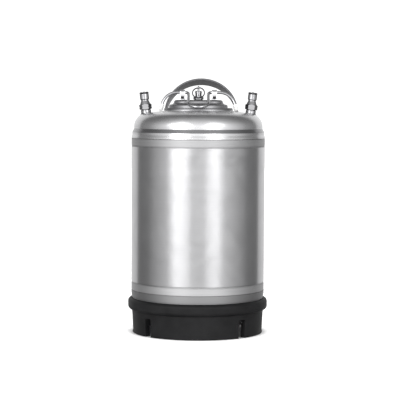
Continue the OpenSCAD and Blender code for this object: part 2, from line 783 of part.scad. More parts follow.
module lid_plate() {
    color(bright) {
        oval_sweep(mouth) pan_profile();
        translate([0, 0, shoulder_z - lid_wall]) linear_extrude(lid_wall) difference() {
            oval_flat(mouth, -lid_gap - shoulder_r);
            oval_flat(plateau, 0);
        }
        oval_sweep(plateau) slope_profile();
        translate([0, 0, plateau_z - lid_wall]) linear_extrude(lid_wall) difference() {
            oval_flat(plateau, -plateau_slope);
            circle(d = prv_shank_d + 2 * slide_fit);
        }
    }
}

module lid_seal() {
    seal_x = lid_seal_d / 2 + slide_fit - lid_gap;
    color(rubber) oval_sweep(mouth)
        translate([seal_x, flange_z + lid_seal_d / 2]) circle(d = lid_seal_d, $fn = 48);
}

// Hairpin strap over the pivot wire, with a window through its front leg
module bracket() {
    loop_r = pivot_bore_r + bracket_t;
    difference() {
        translate([-bracket_w / 2, 0, plateau_z]) rotate([90, 0, 90])
            linear_extrude(bracket_w) difference() {
                union() {
                    translate([0, pivot_rise]) circle(r = loop_r);
                    translate([-loop_r, 0]) square([2 * loop_r, pivot_rise]);
                    translate([-bracket_reach / 2, 0]) square([bracket_reach, bracket_t]);
                }
                translate([0, pivot_rise]) circle(r = pivot_bore_r);
                translate([-pivot_bore_r, -cut]) square([2 * pivot_bore_r, pivot_rise + cut]);
            }
        translate([-window_w / 2, -bracket_reach, plateau_z + window_sill])
            cube([window_w, bracket_reach, window_h]);
    }
}

module bail_brackets() {
    color(steel) for (s = [-1, 1]) translate([s * bracket_x, 0, 0]) bracket();
}

// A flat frame hung from the pivot: X along the pivot, Y along the hanging direction
module from_pivot(turn) {
    translate([0, 0, pivot_z]) rotate([turn, 0, 0]) children();
}

module wire_run(length) {
    cylinder(r = wire_r, h = length, $fn = 48);
}

module wire_bend(r, turn) {
    rotate_extrude(angle = turn) translate([r, 0]) circle(r = wire_r, $fn = 48);
}

// A joint between two runs of wire, a hair proud so that the runs merge in it
module wire_joint() {
    sphere(r = wire_r + joint_proud, $fn = 48);
}

// The lever loop with a pivot at each end, in its own plane
module lever_loop() {
    bend_x = lever_w / 2 + lever_bend_r;
    end_y = lever_len - lever_w / 2;
    translate([0, end_y, 0]) wire_bend(lever_w / 2, 180);
    for (s = [-1, 1]) {
        translate([s * lever_w / 2, lever_bend_r, 0]) rotate([-90, 0, 0]) wire_run(end_y - lever_bend_r);
        translate([s * bend_x, lever_bend_r, 0]) rotate([0, 0, s > 0 ? 180 : 270])
            wire_bend(lever_bend_r, 90);
        translate([s * bend_x, 0, 0]) rotate([0, s * 90, 0]) wire_run(leg_x - bend_x);
    }
}

// One leg, from the end of the right pivot to its foot, in its own plane
module bail_leg() {
    translate([leg_x, 0, 0]) wire_joint();
    translate([leg_x, leg_bend_r, 0]) {
        rotate([0, 0, -90]) wire_bend(leg_bend_r, leg_turn);
        rotate([0, 0, leg_turn]) translate([0, -leg_bend_r, 0]) {
            wire_joint();
            rotate([0, 90, 0]) wire_run(leg_run);
        }
    }
}

module bail_wire() {
    color(bright) {
        from_pivot(lever_plane) lever_loop();
        from_pivot(leg_plane) {
            bail_leg();
            mirror([1, 0, 0]) bail_leg();
        }
    }
}

// Plastic sleeve pushed on the end of a leg, round where it presses on the crown
module bail_foot() {
    from_pivot(leg_plane) translate([foot_x, leg_drop, 0]) rotate([0, 0, leg_turn]) rotate([0, -90, 0])
        difference() {
            union() {
                sphere(r = foot_r);
                cylinder(r = foot_r, h = foot_len);
            }
            cylinder(r = wire_r + run_fit, h = foot_len + cut);
        }
}

module bail_feet() {
    color(nylon) {
        bail_foot();
        mirror([1, 0, 0]) bail_foot();
    }
}

module on_plateau() {
    translate([0, 0, plateau_z]) children();
}

module relief_valve_body() {
    color(bright) on_plateau() difference() {
        union() {
            translate([0, 0, prv_hex_z]) cylinder(r = hex_r(prv_hex), h = prv_hex_h, $fn = 6);
            translate([0, 0, prv_body_z - cut]) cylinder(d = prv_d, h = prv_body_h + cut);
            translate([0, 0, -lid_wall - prv_shank_l])
                cylinder(d = prv_shank_d, h = lid_wall + prv_shank_l + prv_hex_z + cut);
        }
        translate([0, 0, prv_seat_z]) cylinder(d = prv_bore, h = prv_top_z - prv_seat_z + cut);
        translate([0, 0, -lid_wall - prv_shank_l - cut]) cylinder(d = prv_port, h = prv_shank_l + lid_wall);
        for (a = [0, 90]) translate([0, 0, vent_z + vent_d / 2]) rotate([0, 0, a]) rotate([90, 0, 0])
            translate([0, 0, -prv_d]) cylinder(d = vent_d, h = 2 * prv_d);
    }
}

module relief_valve_cap() {
    color(bright) on_plateau() difference() {
        union() {
            translate([0, 0, prv_top_z]) cylinder(d1 = prv_d, d2 = prv_d - prv_cap_h, h = prv_cap_h);
            translate([0, 0, prv_top_z - prv_spigot])
                cylinder(d = prv_bore - 2 * slide_fit, h = prv_spigot + cut / 2);
        }
        translate([0, 0, prv_top_z - prv_spigot - cut])
            cylinder(r = stem_d / 2 + run_fit, h = prv_spigot + prv_cap_h + 2 * cut);
    }
}

// Pull stem: a disc over the seal, a rod through the cap, and a flattened eye for the ring
module relief_valve_stem() {
    color(bright) on_plateau() difference() {
        union() {
            translate([0, 0, disc_z]) cylinder(d = disc_d, h = disc_t);
            translate([0, 0, disc_z]) cylinder(d = stem_d, h = eye_z - disc_z);
            translate([-eye_t / 2, 0, eye_z]) rotate([0, 90, 0]) cylinder(d = eye_d, h = eye_t);
        }
        translate([-eye_d, 0, eye_z]) rotate([0, 90, 0]) cylinder(d = ring_hole_d, h = 2 * eye_d);
    }
}

module relief_valve_seal() {
    color(rubber) on_plateau() translate([0, 0, prv_seat_z + end_gap])
        cylinder(d = disc_d, h = prv_seal_t - end_gap);
}

module relief_valve_spring() {
    color(bright) on_plateau()
        coil(prv_spring_d, prv_spring_wire, prv_spring_z, prv_spring_top, prv_turns);
}

// Split ring: a wire wound twice, hanging from the eye
module relief_pull_ring() {
    color(bright) on_plateau() translate([0, 0, eye_z]) rotate([-ring_lean, 0, 0])
        translate([0, 0, -ring_r]) rotate([90, 0, 0]) rotate_extrude() translate([ring_r, 0]) {
            for (s = [-1, 1]) translate([0, s * ring_pitch / 2]) circle(d = ring_wire, $fn = 48);
        }
}

module relief_gasket() {
    color(rubber) on_plateau() tube(gasket_d / 2, prv_shank_d / 2 + slide_fit, 0, gasket_t);
}

module relief_lock_nut() {
    color(bright) on_plateau() translate([0, 0, -lid_wall - prv_nut_h]) difference() {
        cylinder(r = hex_r(prv_nut), h = prv_nut_h, $fn = 6);
        translate([0, 0, -cut]) cylinder(r = prv_shank_d / 2 + slide_fit, h = prv_nut_h + 2 * cut);
    }
}

body_shell();
top_head();
bottom_head();
base_boot();
carry_handle();
gas_plug_adapter();
liquid_plug_adapter();
gas_post();
liquid_post();
gas_post_o_ring();
liquid_post_o_ring();
gas_dip_tube();
liquid_dip_tube();
gas_tube_o_ring();
liquid_tube_o_ring();
gas_poppet();
liquid_poppet();
gas_poppet_seal();
liquid_poppet_seal();
gas_poppet_spring();
liquid_poppet_spring();
lid_plate();
lid_seal();
bail_brackets();
bail_wire();
bail_feet();
relief_valve_body();
relief_valve_cap();
relief_valve_stem();
relief_valve_seal();
relief_valve_spring();
relief_pull_ring();
relief_gasket();
relief_lock_nut();
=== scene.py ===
# A slim stainless drink keg on a rubber boot, with an oval lid held by a wire bail, a pull-ring relief
# valve, two ball lock posts and a welded strap handle, put together here from the floor up.
import math

import bmesh
import bpy
from mathutils import Matrix, Vector


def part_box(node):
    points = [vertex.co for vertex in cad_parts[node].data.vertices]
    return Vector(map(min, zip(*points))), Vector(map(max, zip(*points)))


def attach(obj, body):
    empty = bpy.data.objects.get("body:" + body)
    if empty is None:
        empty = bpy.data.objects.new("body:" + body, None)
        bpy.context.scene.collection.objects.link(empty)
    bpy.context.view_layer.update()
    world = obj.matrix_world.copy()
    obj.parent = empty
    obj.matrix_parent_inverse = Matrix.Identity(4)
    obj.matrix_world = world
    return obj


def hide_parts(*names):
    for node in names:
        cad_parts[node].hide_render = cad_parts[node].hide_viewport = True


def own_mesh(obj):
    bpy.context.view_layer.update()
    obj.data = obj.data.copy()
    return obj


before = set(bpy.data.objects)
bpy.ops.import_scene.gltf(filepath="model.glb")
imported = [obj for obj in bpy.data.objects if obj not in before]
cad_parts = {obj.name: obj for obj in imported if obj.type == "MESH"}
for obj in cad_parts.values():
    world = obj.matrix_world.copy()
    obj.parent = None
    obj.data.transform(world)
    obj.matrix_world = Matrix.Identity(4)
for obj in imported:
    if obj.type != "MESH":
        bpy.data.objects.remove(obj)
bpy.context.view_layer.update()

# Body shell: one stainless sheet, rolled to a cylinder and butt welded to a head at each end.
# The sheet is brushed round and round, and a band beside each weld is ground flush and duller,
# with a shallow crease where the grinding stops, which is also painted darker as shade.
MM = 0.001
ROUND = 192
MERGE = 0.001 * MM
MIX_A, MIX_B, MIX_OUT = 6, 7, 2  # the sockets of a Mix node for colours
shell_low, shell_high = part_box("body_shell")
shell_r = shell_high.x / MM
lower_weld = shell_low.z / MM
upper_weld = shell_high.z / MM
shell_wall = 1.2
weld_groove = 0.35
ground_band = 12.5
crease_depth = 0.35
crease_width = 5.0
crease_flat = 0.4
ground_fade = 1.5
seam_w, seam_fade = 0.3, 1.1
line_w, line_len = 2.0, 70.0
scuff_w = 35.0


def arc(x, z, r, start, end, steps):
    """Points [x, z] along an arc, its angles in degrees."""
    turns = [math.radians(start + (end - start) * i / steps) for i in range(steps + 1)]
    return [(x + r * math.cos(t), z + r * math.sin(t)) for t in turns]


def draw(name, points):
    """A line of edges through points in millimetres, drawn by extruding one corner on and on."""
    places = [Vector(p) * MM for p in points]
    bpy.ops.object.select_all(action="DESELECT")
    bpy.ops.mesh.primitive_plane_add(size=MM, location=places[0])
    piece = bpy.context.object
    piece.name = name
    bpy.ops.object.transform_apply(location=True, rotation=False, scale=False)
    bpy.ops.object.mode_set(mode="EDIT")
    bpy.ops.mesh.merge(type="CENTER")
    for here, there in zip(places, places[1:]):
        bpy.ops.mesh.extrude_vertices_move(TRANSFORM_OT_translate={"value": there - here})
    return piece


def close_up():
    """Merges what meets, turns the faces outwards and leaves edit mode."""
    bpy.ops.mesh.select_all(action="SELECT")
    bpy.ops.mesh.remove_doubles(threshold=MERGE)
    bpy.ops.mesh.normals_make_consistent(inside=False)
    bpy.ops.object.mode_set(mode="OBJECT")


def spun(name, profile, steps=ROUND):
    """A turned piece: a profile of [radius, height] in millimetres, spun round the upright axis."""
    piece = draw(name, [(x, 0, z) for x, z in profile])
    bpy.ops.mesh.select_all(action="SELECT")
    bpy.ops.mesh.spin(steps=steps, angle=math.tau, center=(0, 0, 0), axis=(0, 0, 1))
    close_up()
    return piece


def take(piece):
    """Makes a piece the only selected one."""
    bpy.ops.object.select_all(action="DESELECT")
    piece.select_set(True)
    bpy.context.view_layer.objects.active = piece


def modify(piece, kind, **settings):
    """Adds a modifier and applies it."""
    take(piece)
    modifier = piece.modifiers.new(kind, kind)
    for key, value in settings.items():
        setattr(modifier, key, value)
    bpy.ops.object.modifier_apply(modifier=modifier.name)


def dress(piece, material, slot, body, *nodes, smooth=35):
    """Shades a finished piece, gives it its material and body, and hides the nodes it stands for."""
    take(piece)
    bpy.ops.object.shade_smooth_by_angle(angle=math.radians(smooth))
    piece.data.materials.clear()
    piece.data.materials.append(material)
    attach(piece, body)
    if nodes:
        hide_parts(*nodes)


def linear(code):
    """The linear colour of an sRGB hex value."""
    parts = [int(code[i:i + 2], 16) / 255 for i in (1, 3, 5)]
    return [p / 12.92 if p <= 0.04045 else ((p + 0.055) / 1.055) ** 2.4 for p in parts] + [1.0]


def add_node(material, kind, inputs=None, **settings):
    """Adds a node with its settings, and sets or links its inputs."""
    node = material.node_tree.nodes.new(kind)
    for key, value in settings.items():
        setattr(node, key, value)
    for key, value in (inputs or {}).items():
        if isinstance(value, bpy.types.NodeSocket):
            material.node_tree.links.new(value, node.inputs[key])
        else:
            node.inputs[key].default_value = value
    return node


def start_material(name, constants):
    """A new material with the numbers that are the same all over its surface."""
    material = bpy.data.materials.new(name)
    material.use_nodes = True
    shader = material.node_tree.nodes["Principled BSDF"]
    for socket, value in constants.items():
        shader.inputs[socket].default_value = value
    return material, shader


def brushed_stainless():
    """Austenitic stainless sheet brushed round the keg: long fine lines that spread each reflection up
    and down, pale ground bands beside the welds, painted shade along the crease at each band's edge
    and a heat-darkened weld line. The lines are drawn 2 mm wide, coarser than the real ones, so that
    they show."""
    material, shader = start_material("brushed_stainless", {
        "Metallic": 1.0, "Anisotropic": 1.0, "Anisotropic Rotation": 0.25})
    link = material.node_tree.links.new
    place = add_node(material, "ShaderNodeTexCoord").outputs["Object"]
    height = add_node(material, "ShaderNodeSeparateXYZ", {"Vector": place}).outputs["Z"]
    gaps = []
    for weld in (lower_weld, upper_weld):
        off = add_node(material, "ShaderNodeMath", {0: height, 1: weld * MM}, operation="SUBTRACT").outputs[0]
        gaps.append(add_node(material, "ShaderNodeMath", {0: off}, operation="ABSOLUTE").outputs[0])
    gap = add_node(material, "ShaderNodeMath", {0: gaps[0], 1: gaps[1]}, operation="MINIMUM").outputs[0]
    ground = add_node(material, "ShaderNodeMapRange", {
        "Value": gap, "From Min": ground_band * MM, "From Max": (ground_band + ground_fade) * MM,
        "To Min": 1.0, "To Max": 0.0}, interpolation_type="SMOOTHSTEP").outputs[0]
    seam = add_node(material, "ShaderNodeMapRange", {
        "Value": gap, "From Min": seam_w * MM, "From Max": seam_fade * MM, "To Min": 0.5, "To Max": 0.0},
        interpolation_type="SMOOTHSTEP").outputs[0]
    edge = add_node(material, "ShaderNodeMath", {
        0: gap, 1: ground_band * MM}, operation="SUBTRACT").outputs[0]
    # Painted shade: the colour is darkened along the crease at each ground band's edge.
    crease_shade = add_node(material, "ShaderNodeMapRange", {
        "Value": add_node(material, "ShaderNodeMath", {0: edge}, operation="ABSOLUTE").outputs[0],
        "From Min": crease_flat * MM, "From Max": crease_width / 2 * MM, "To Min": 0.3, "To Max": 0.0},
        interpolation_type="SMOOTHSTEP").outputs[0]
    below = add_node(material, "ShaderNodeMath", {
        0: height, 1: lower_weld * MM}, operation="LESS_THAN").outputs[0]
    stretch = add_node(material, "ShaderNodeMapping", {
        "Vector": place, "Scale": [1 / (size * MM) for size in (line_len, line_len, line_w)]}).outputs[0]
    lines = add_node(material, "ShaderNodeTexNoise", {
        "Vector": stretch, "Scale": 1.0, "Detail": 4.0, "Roughness": 0.6}).outputs["Fac"]
    scuffs = add_node(material, "ShaderNodeTexNoise", {
        "Vector": place, "Scale": 1 / (scuff_w * MM), "Detail": 5.0, "Roughness": 0.55,
        "Distortion": 0.8}).outputs["Fac"]
    sheet = add_node(material, "ShaderNodeMix", {
        0: lines, MIX_A: linear("#c6c6c8"), MIX_B: linear("#d0d0d1")}, data_type="RGBA").outputs[MIX_OUT]
    flushed = add_node(material, "ShaderNodeMix", {
        0: lines, MIX_A: linear("#dfdfe0"), MIX_B: linear("#f1f1f2")}, data_type="RGBA").outputs[MIX_OUT]
    dulled = add_node(material, "ShaderNodeMix", {
        0: below, MIX_A: flushed, MIX_B: linear("#bebebf")}, data_type="RGBA").outputs[MIX_OUT]
    tone = sheet
    for mask, layer in ((ground, dulled), (crease_shade, linear("#8f8f91")), (seam, linear("#6f6e6d"))):
        tone = add_node(material, "ShaderNodeMix", {
            0: mask, MIX_A: tone, MIX_B: layer}, data_type="RGBA").outputs[MIX_OUT]
    link(tone, shader.inputs["Base Color"])
    satin = add_node(material, "ShaderNodeMapRange", {
        "Value": lines, "From Min": 0.3, "From Max": 0.7, "To Min": 0.31, "To Max": 0.37}).outputs[0]
    worn = add_node(material, "ShaderNodeMapRange", {
        "Value": scuffs, "From Min": 0.35, "From Max": 0.7, "To Min": -0.02, "To Max": 0.05}).outputs[0]
    uneven = add_node(material, "ShaderNodeMath", {0: satin, 1: worn}, operation="ADD").outputs[0]
    dull = add_node(material, "ShaderNodeMix", {0: ground, 2: uneven, 3: 0.95}, data_type="FLOAT").outputs[0]
    link(dull, shader.inputs["Roughness"])
    bump = add_node(material, "ShaderNodeBump", {
        "Height": lines, "Strength": 0.05, "Distance": 0.05 * MM}).outputs[0]
    link(bump, shader.inputs["Normal"])
    return material


def crease(z):
    """A shallow rounded dip in the shell's outside, from below height z to above it."""
    shares = [i / 10 - 0.5 for i in range(11)]
    return [(shell_r - crease_depth * (1 + math.cos(math.tau * s)) / 2, z + s * crease_width) for s in shares]


shell_steel = brushed_stainless()
shell = spun("shell_sheet", [
    (shell_r - shell_wall, lower_weld), (shell_r - weld_groove, lower_weld),
    (shell_r, lower_weld + weld_groove), *crease(lower_weld + ground_band),
    *crease(upper_weld - ground_band), (shell_r, upper_weld - weld_groove),
    (shell_r - weld_groove, upper_weld), (shell_r - shell_wall, upper_weld),
    (shell_r - shell_wall, lower_weld)])
dress(shell, shell_steel, "satin_steel", "keg", "body_shell")

# Bottom head: a stainless disc pressed to a dish with a large round knuckle, welded to the shell.
# Only the top of its knuckle shows, between the lower weld and the boot.
head_wall = 1.5
dish_skirt = 1.5
dish_knuckle_r = 38.0
dish_r = 210.0
dish_knuckle_x = shell_r - dish_knuckle_r
dish_knuckle_z = lower_weld - dish_skirt
dish_z = dish_knuckle_z + math.sqrt((dish_r - dish_knuckle_r) ** 2 - dish_knuckle_x ** 2)
dish_edge = math.degrees(math.asin(dish_knuckle_x / (dish_r - dish_knuckle_r)))


def bottom_outline(inset):
    """Half outline of the bottom head from the weld to its lowest point, moved in by the inset."""
    return [(shell_r - inset, lower_weld - weld_groove),
            *arc(dish_knuckle_x, dish_knuckle_z, dish_knuckle_r - inset, 0, dish_edge - 90, 20),
            *arc(0, dish_z, dish_r - inset, dish_edge - 90, -90, 16)[1:]]


bottom = spun("bottom_head_pressing", [
    (shell_r - head_wall, lower_weld), (shell_r - weld_groove, lower_weld), *bottom_outline(0),
    *reversed(bottom_outline(head_wall)), (shell_r - head_wall, lower_weld)])
dress(bottom, shell_steel, "satin_steel", "keg", "bottom_head")

# Top head: a stainless disc pressed to a shallow crown, with a knuckle, a straight neck and a joggle that
# steps out to the shell. The mouth's edge is drawn up to a flat oval rim and turned down into a lip.
neck_r = 104.0
collar_step = 1.15
collar_r = shell_r - collar_step
top_skirt = 2.2
flare_h = 4.0
collar_h = 3.6
joggle_h = 6.0
step_bend_r = 1.0
neck_straight = 2.85
knuckle_r = 22.0
crown_r = 560.0
flare_z = upper_weld + top_skirt
collar_z = flare_z + flare_h
joggle_z = collar_z + collar_h
neck_z = joggle_z + joggle_h
knuckle_x = neck_r - knuckle_r
knuckle_z = neck_z + neck_straight
crown_z = knuckle_z - math.sqrt((crown_r - knuckle_r) ** 2 - knuckle_x ** 2)
crown_edge = math.degrees(math.asin(knuckle_x / (crown_r - knuckle_r)))
mouth = (97.2, 79.4)
rim_w = 7.0
rim_edge_r = 2.0
rim_rise = 2.06
rim_foot_gap = 0.8
rim_root = 0.25
rim_over_crown = 0.2
rim_shade, rim_shade_fade = 4.2, 1.0
joggle_shade_in, joggle_shade_out = 0.3, 0.5
ring_mark_w, ring_mark_len = 1.5, 90.0
press_mark_w = 30.0
rim_z = round((crown_z + crown_r + rim_rise) * 100) / 100
lip_depth = 7.0
spun_to_r = 70.0
spun_slack = 0.1


def step_in(r1, z1, r2, z2):
    """Points of a step from one radius in to a smaller one, two equal bends with a straight slope."""
    across, rise = 2 * step_bend_r - (r1 - r2), z2 - z1
    turn = math.degrees(math.atan2(rise, across) - math.acos(2 * step_bend_r / math.hypot(across, rise)))
    return [*arc(r1 - step_bend_r, z1, step_bend_r, 0, turn, 10),
            *arc(r2 + step_bend_r, z2, step_bend_r, 180 + turn, 180, 10)]


def crown_height(x, y):
    """Height of the crown's outside over a point."""
    return crown_z + math.sqrt(crown_r ** 2 - x * x - y * y)


def oval(size, turn, out):
    """The point of an oval with round ends that lies at an angle from its middle, moved out by an offset."""
    half, end_r = (size[0] - size[1]) / 2, size[1] / 2
    way_x, way_y = math.cos(turn), math.sin(turn)
    if abs(way_x) * end_r <= half * abs(way_y):
        side = math.copysign(1.0, way_y)
        return way_x / abs(way_y) * end_r, side * (end_r + out)
    middle = math.copysign(half, way_x)
    reach = half * abs(way_x) + math.sqrt(end_r ** 2 - (half * way_y) ** 2)
    grow = (end_r + out) / end_r
    return middle + (reach * way_x - middle) * grow, reach * way_y * grow


def mark_turns(piece):
    """Notes each corner's angle round the keg, which extruded corners then keep."""
    mesh = bmesh.from_edit_mesh(piece.data)
    layer = mesh.verts.layers.float.new("turn")
    for corner in mesh.verts:
        corner[layer] = math.atan2(corner.co.y, corner.co.x)
    bmesh.update_edit_mesh(piece.data)


def draw_on(piece, place):
    """Extrudes the selected loop and puts each new corner where its angle says, in millimetres."""
    bpy.ops.mesh.extrude_region_move()
    mesh = bmesh.from_edit_mesh(piece.data)
    layer = mesh.verts.layers.float["turn"]
    for corner in mesh.verts:
        if corner.select:
            corner.co = Vector(place(corner[layer])) * MM
    bmesh.update_edit_mesh(piece.data)


def end_loops(piece):
    """Closes a piece that was drawn loop by loop and drops its notes."""
    close_up()
    piece.data.attributes.remove(piece.data.attributes["turn"])


def on_crown(share):
    """A loop on the crown, part of the way from the spun edge to the rim's foot."""
    def place(turn):
        foot_x, foot_y = oval(mouth, turn, rim_w + rim_foot_gap)
        x = spun_to_r * math.cos(turn) * (1 - share) + foot_x * share
        y = spun_to_r * math.sin(turn) * (1 - share) + foot_y * share
        return x, y, crown_height(x, y)
    return place


def on_rim(out, z):
    """A loop of the rim at an offset from the mouth, at a height or, if higher, just over the crown."""
    def place(turn):
        x, y = oval(mouth, turn, out)
        return x, y, max(z, crown_height(x, y) + rim_over_crown)
    return place


def on_oval(size, out, z):
    """A level loop round an oval, moved out by an offset."""
    return lambda turn: (*oval(size, turn, out), z)


def pressed_stainless():
    """Pressed and polished stainless: smoother than the brushed shell, with faint rings left by polishing
    round the keg, soft marks from the press, painted shade that darkens the joggle and the rim, and a
    rougher rim. The rings are drawn 1.5 mm wide so that they show."""
    material, shader = start_material("pressed_stainless", {
        "Metallic": 1.0, "Anisotropic": 0.6, "Anisotropic Rotation": 0.25})
    link = material.node_tree.links.new
    place = add_node(material, "ShaderNodeTexCoord").outputs["Object"]
    height = add_node(material, "ShaderNodeSeparateXYZ", {"Vector": place}).outputs["Z"]
    off = add_node(material, "ShaderNodeMath", {
        0: height, 1: upper_weld * MM}, operation="SUBTRACT").outputs[0]
    gap = add_node(material, "ShaderNodeMath", {0: off}, operation="ABSOLUTE").outputs[0]
    seam = add_node(material, "ShaderNodeMapRange", {
        "Value": gap, "From Min": seam_w * MM, "From Max": seam_fade * MM, "To Min": 0.3, "To Max": 0.0},
        interpolation_type="SMOOTHSTEP").outputs[0]
    stretch = add_node(material, "ShaderNodeMapping", {
        "Vector": place,
        "Scale": [1 / (size * MM) for size in (ring_mark_len, ring_mark_len, ring_mark_w)]}).outputs[0]
    rings = add_node(material, "ShaderNodeTexNoise", {
        "Vector": stretch, "Scale": 1.0, "Detail": 3.0, "Roughness": 0.55}).outputs["Fac"]
    marks = add_node(material, "ShaderNodeTexNoise", {
        "Vector": place, "Scale": 1 / (press_mark_w * MM), "Detail": 4.0, "Roughness": 0.6}).outputs["Fac"]
    sheet = add_node(material, "ShaderNodeMix", {
        0: rings, MIX_A: linear("#c0c0c2"), MIX_B: linear("#d2d2d3")}, data_type="RGBA").outputs[MIX_OUT]
    # Painted shade: the joggle's step and the band under the rim's top are darkened in colour.
    mid = add_node(material, "ShaderNodeMath", {
        0: height, 1: (joggle_z + neck_z) / 2 * MM}, operation="SUBTRACT").outputs[0]
    painted_joggle_shade = add_node(material, "ShaderNodeMapRange", {
        "Value": add_node(material, "ShaderNodeMath", {0: mid}, operation="ABSOLUTE").outputs[0],
        "From Min": (joggle_h / 2 - joggle_shade_in) * MM, "From Max": (joggle_h / 2 + joggle_shade_out) * MM,
        "To Min": 1.0, "To Max": 0.0}, interpolation_type="SMOOTHSTEP").outputs[0]
    drawn_up = add_node(material, "ShaderNodeMapRange", {
        "Value": height, "From Min": (rim_z - rim_shade) * MM,
        "From Max": (rim_z - rim_shade + rim_shade_fade) * MM}, interpolation_type="SMOOTHSTEP").outputs[0]
    painted_rim_and_joggle_shade = add_node(material, "ShaderNodeMath", {0: painted_joggle_shade, 1: drawn_up}, operation="MAXIMUM").outputs[0]
    tone = sheet
    for mask, layer in ((painted_rim_and_joggle_shade, "#8e8e90"), (seam, "#6f6e6d")):
        tone = add_node(material, "ShaderNodeMix", {
            0: mask, MIX_A: tone, MIX_B: linear(layer)}, data_type="RGBA").outputs[MIX_OUT]
    link(tone, shader.inputs["Base Color"])
    satin = add_node(material, "ShaderNodeMapRange", {
        "Value": marks, "From Min": 0.3, "From Max": 0.7, "To Min": 0.24, "To Max": 0.32}).outputs[0]
    dull = add_node(material, "ShaderNodeMix", {0: drawn_up, 2: satin, 3: 0.5}, data_type="FLOAT").outputs[0]
    link(dull, shader.inputs["Roughness"])
    bump = add_node(material, "ShaderNodeBump", {
        "Height": rings, "Strength": 0.08, "Distance": 0.05 * MM}).outputs[0]
    link(bump, shader.inputs["Normal"])
    return material


head_steel = pressed_stainless()
top = draw("top_head_pressing", [(x, 0, z) for x, z in [
    (shell_r - weld_groove, upper_weld), (shell_r, upper_weld + weld_groove),
    *step_in(shell_r, flare_z, collar_r, collar_z), *step_in(collar_r, joggle_z, neck_r, neck_z),
    *arc(knuckle_x, knuckle_z, knuckle_r, 0, 90 - crown_edge, 28),
    *arc(0, crown_z, crown_r, 90 - crown_edge, math.degrees(math.acos(spun_to_r / crown_r)), 6)[1:]]])
bpy.ops.mesh.select_all(action="SELECT")
bpy.ops.mesh.spin(steps=ROUND, angle=math.tau, center=(0, 0, 0), axis=(0, 0, 1))
bpy.ops.mesh.select_all(action="SELECT")
bpy.ops.mesh.remove_doubles(threshold=MERGE)
mark_turns(top)
bpy.ops.mesh.select_all(action="DESELECT")
crown_mesh = bmesh.from_edit_mesh(top.data)
for corner in crown_mesh.verts:
    corner.select_set(math.hypot(corner.co.x, corner.co.y) < (spun_to_r + spun_slack) * MM)
crown_mesh.select_flush(True)
bmesh.update_edit_mesh(top.data)
for share in (0.25, 0.5, 0.75, 1.0):
    draw_on(top, on_crown(share))
rim_profile = [(rim_w + rim_root, 0.0), *arc(rim_w - rim_edge_r, rim_z - rim_edge_r, rim_edge_r, 20, 90, 7),
               *arc(rim_edge_r, rim_z - rim_edge_r, rim_edge_r, 90, 180, 8)]
for out, z in rim_profile:
    draw_on(top, on_rim(out, z))
draw_on(top, on_oval(mouth, 0.0, rim_z - lip_depth))
end_loops(top)
modify(top, "SOLIDIFY", thickness=head_wall * MM, offset=-1.0, use_even_offset=True)
dress(top, head_steel, "satin_steel", "keg", "top_head")

# Base boot: one black rubber moulding that the keg is pushed into. A round bead grips the skirt, the wall
# tapers down to a thin lip on the floor, and four slots let water and air out.
boot_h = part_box("base_boot")[1].z / MM
bead_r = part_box("base_boot")[1].x / MM
bead_h = 19.0
bead_edge_r = 6.2
boot_wall_top_r = 106.8
boot_wall_low_r = 104.9
boot_lip_r = 105.7
boot_lip_h = 2.4
boot_in_r = 96.0
boot_in_top_r = boot_wall_top_r - (boot_wall_low_r - boot_in_r)
boot_fit = 0.1
boot_lip_round = 0.8
lip_root_w = 0.15
lip_root_low, lip_root_high = 0.7, 2.2
wall_ease, wall_end = 0.1, 2.0
boot_foot_chamfer = 0.6
bead_fillet_r = 0.8
slot_w = 13.0
slot_h = 29.5
slot_corner_r = 2.5
slot_turn = -3.0
slot_through = 40.0
rubber_grain_w, dust_w = 1.2, 30.0
seat_r = dish_knuckle_r + boot_fit
seat_from = -math.degrees(math.asin((dish_knuckle_z - boot_h) / seat_r))
seat_to = -math.degrees(math.acos((boot_in_top_r - dish_knuckle_x) / seat_r))
bead_x = bead_r - bead_edge_r
bead_low = boot_h - bead_h


def moulded_rubber():
    """Black EPDM moulding: a matt, slightly grainy skin with paler dusty patches and a soft sheen. The grain
    is drawn 1.2 mm wide so that it shows."""
    material, shader = start_material("moulded_rubber", {"Specular IOR Level": 0.14})
    link = material.node_tree.links.new
    place = add_node(material, "ShaderNodeTexCoord").outputs["Object"]
    grain = add_node(material, "ShaderNodeTexNoise", {
        "Vector": place, "Scale": 1 / (rubber_grain_w * MM), "Detail": 3.0, "Roughness": 0.6}).outputs["Fac"]
    dust = add_node(material, "ShaderNodeTexNoise", {
        "Vector": place, "Scale": 1 / (dust_w * MM), "Detail": 5.0, "Roughness": 0.62}).outputs["Fac"]
    patches = add_node(material, "ShaderNodeMapRange", {
        "Value": dust, "From Min": 0.35, "From Max": 0.75, "To Min": 0.0, "To Max": 1.0}).outputs[0]
    skin = add_node(material, "ShaderNodeMix", {
        0: patches, MIX_A: linear("#161617"), MIX_B: linear("#212122")}, data_type="RGBA").outputs[MIX_OUT]
    link(skin, shader.inputs["Base Color"])
    matt = add_node(material, "ShaderNodeMapRange", {
        "Value": dust, "From Min": 0.3, "From Max": 0.7, "To Min": 0.46, "To Max": 0.62}).outputs[0]
    link(matt, shader.inputs["Roughness"])
    bump = add_node(material, "ShaderNodeBump", {
        "Height": grain, "Strength": 0.25, "Distance": 0.1 * MM}).outputs[0]
    link(bump, shader.inputs["Normal"])
    return material


def cut(piece, cutter, operation="DIFFERENCE"):
    """Cuts a piece with another, which is used up."""
    modify(piece, "BOOLEAN", object=cutter, operation=operation, solver="EXACT")
    bpy.data.objects.remove(cutter)


def block(size, middle=(0, 0, 0)):
    """A plain box to cut with, its size and middle in millimetres."""
    bpy.ops.object.select_all(action="DESELECT")
    bpy.ops.mesh.primitive_cube_add(size=1.0)
    piece = bpy.context.object
    piece.scale = Vector(size) * MM
    piece.location = Vector(middle) * MM
    bpy.ops.object.transform_apply(location=True, rotation=True, scale=True)
    return piece


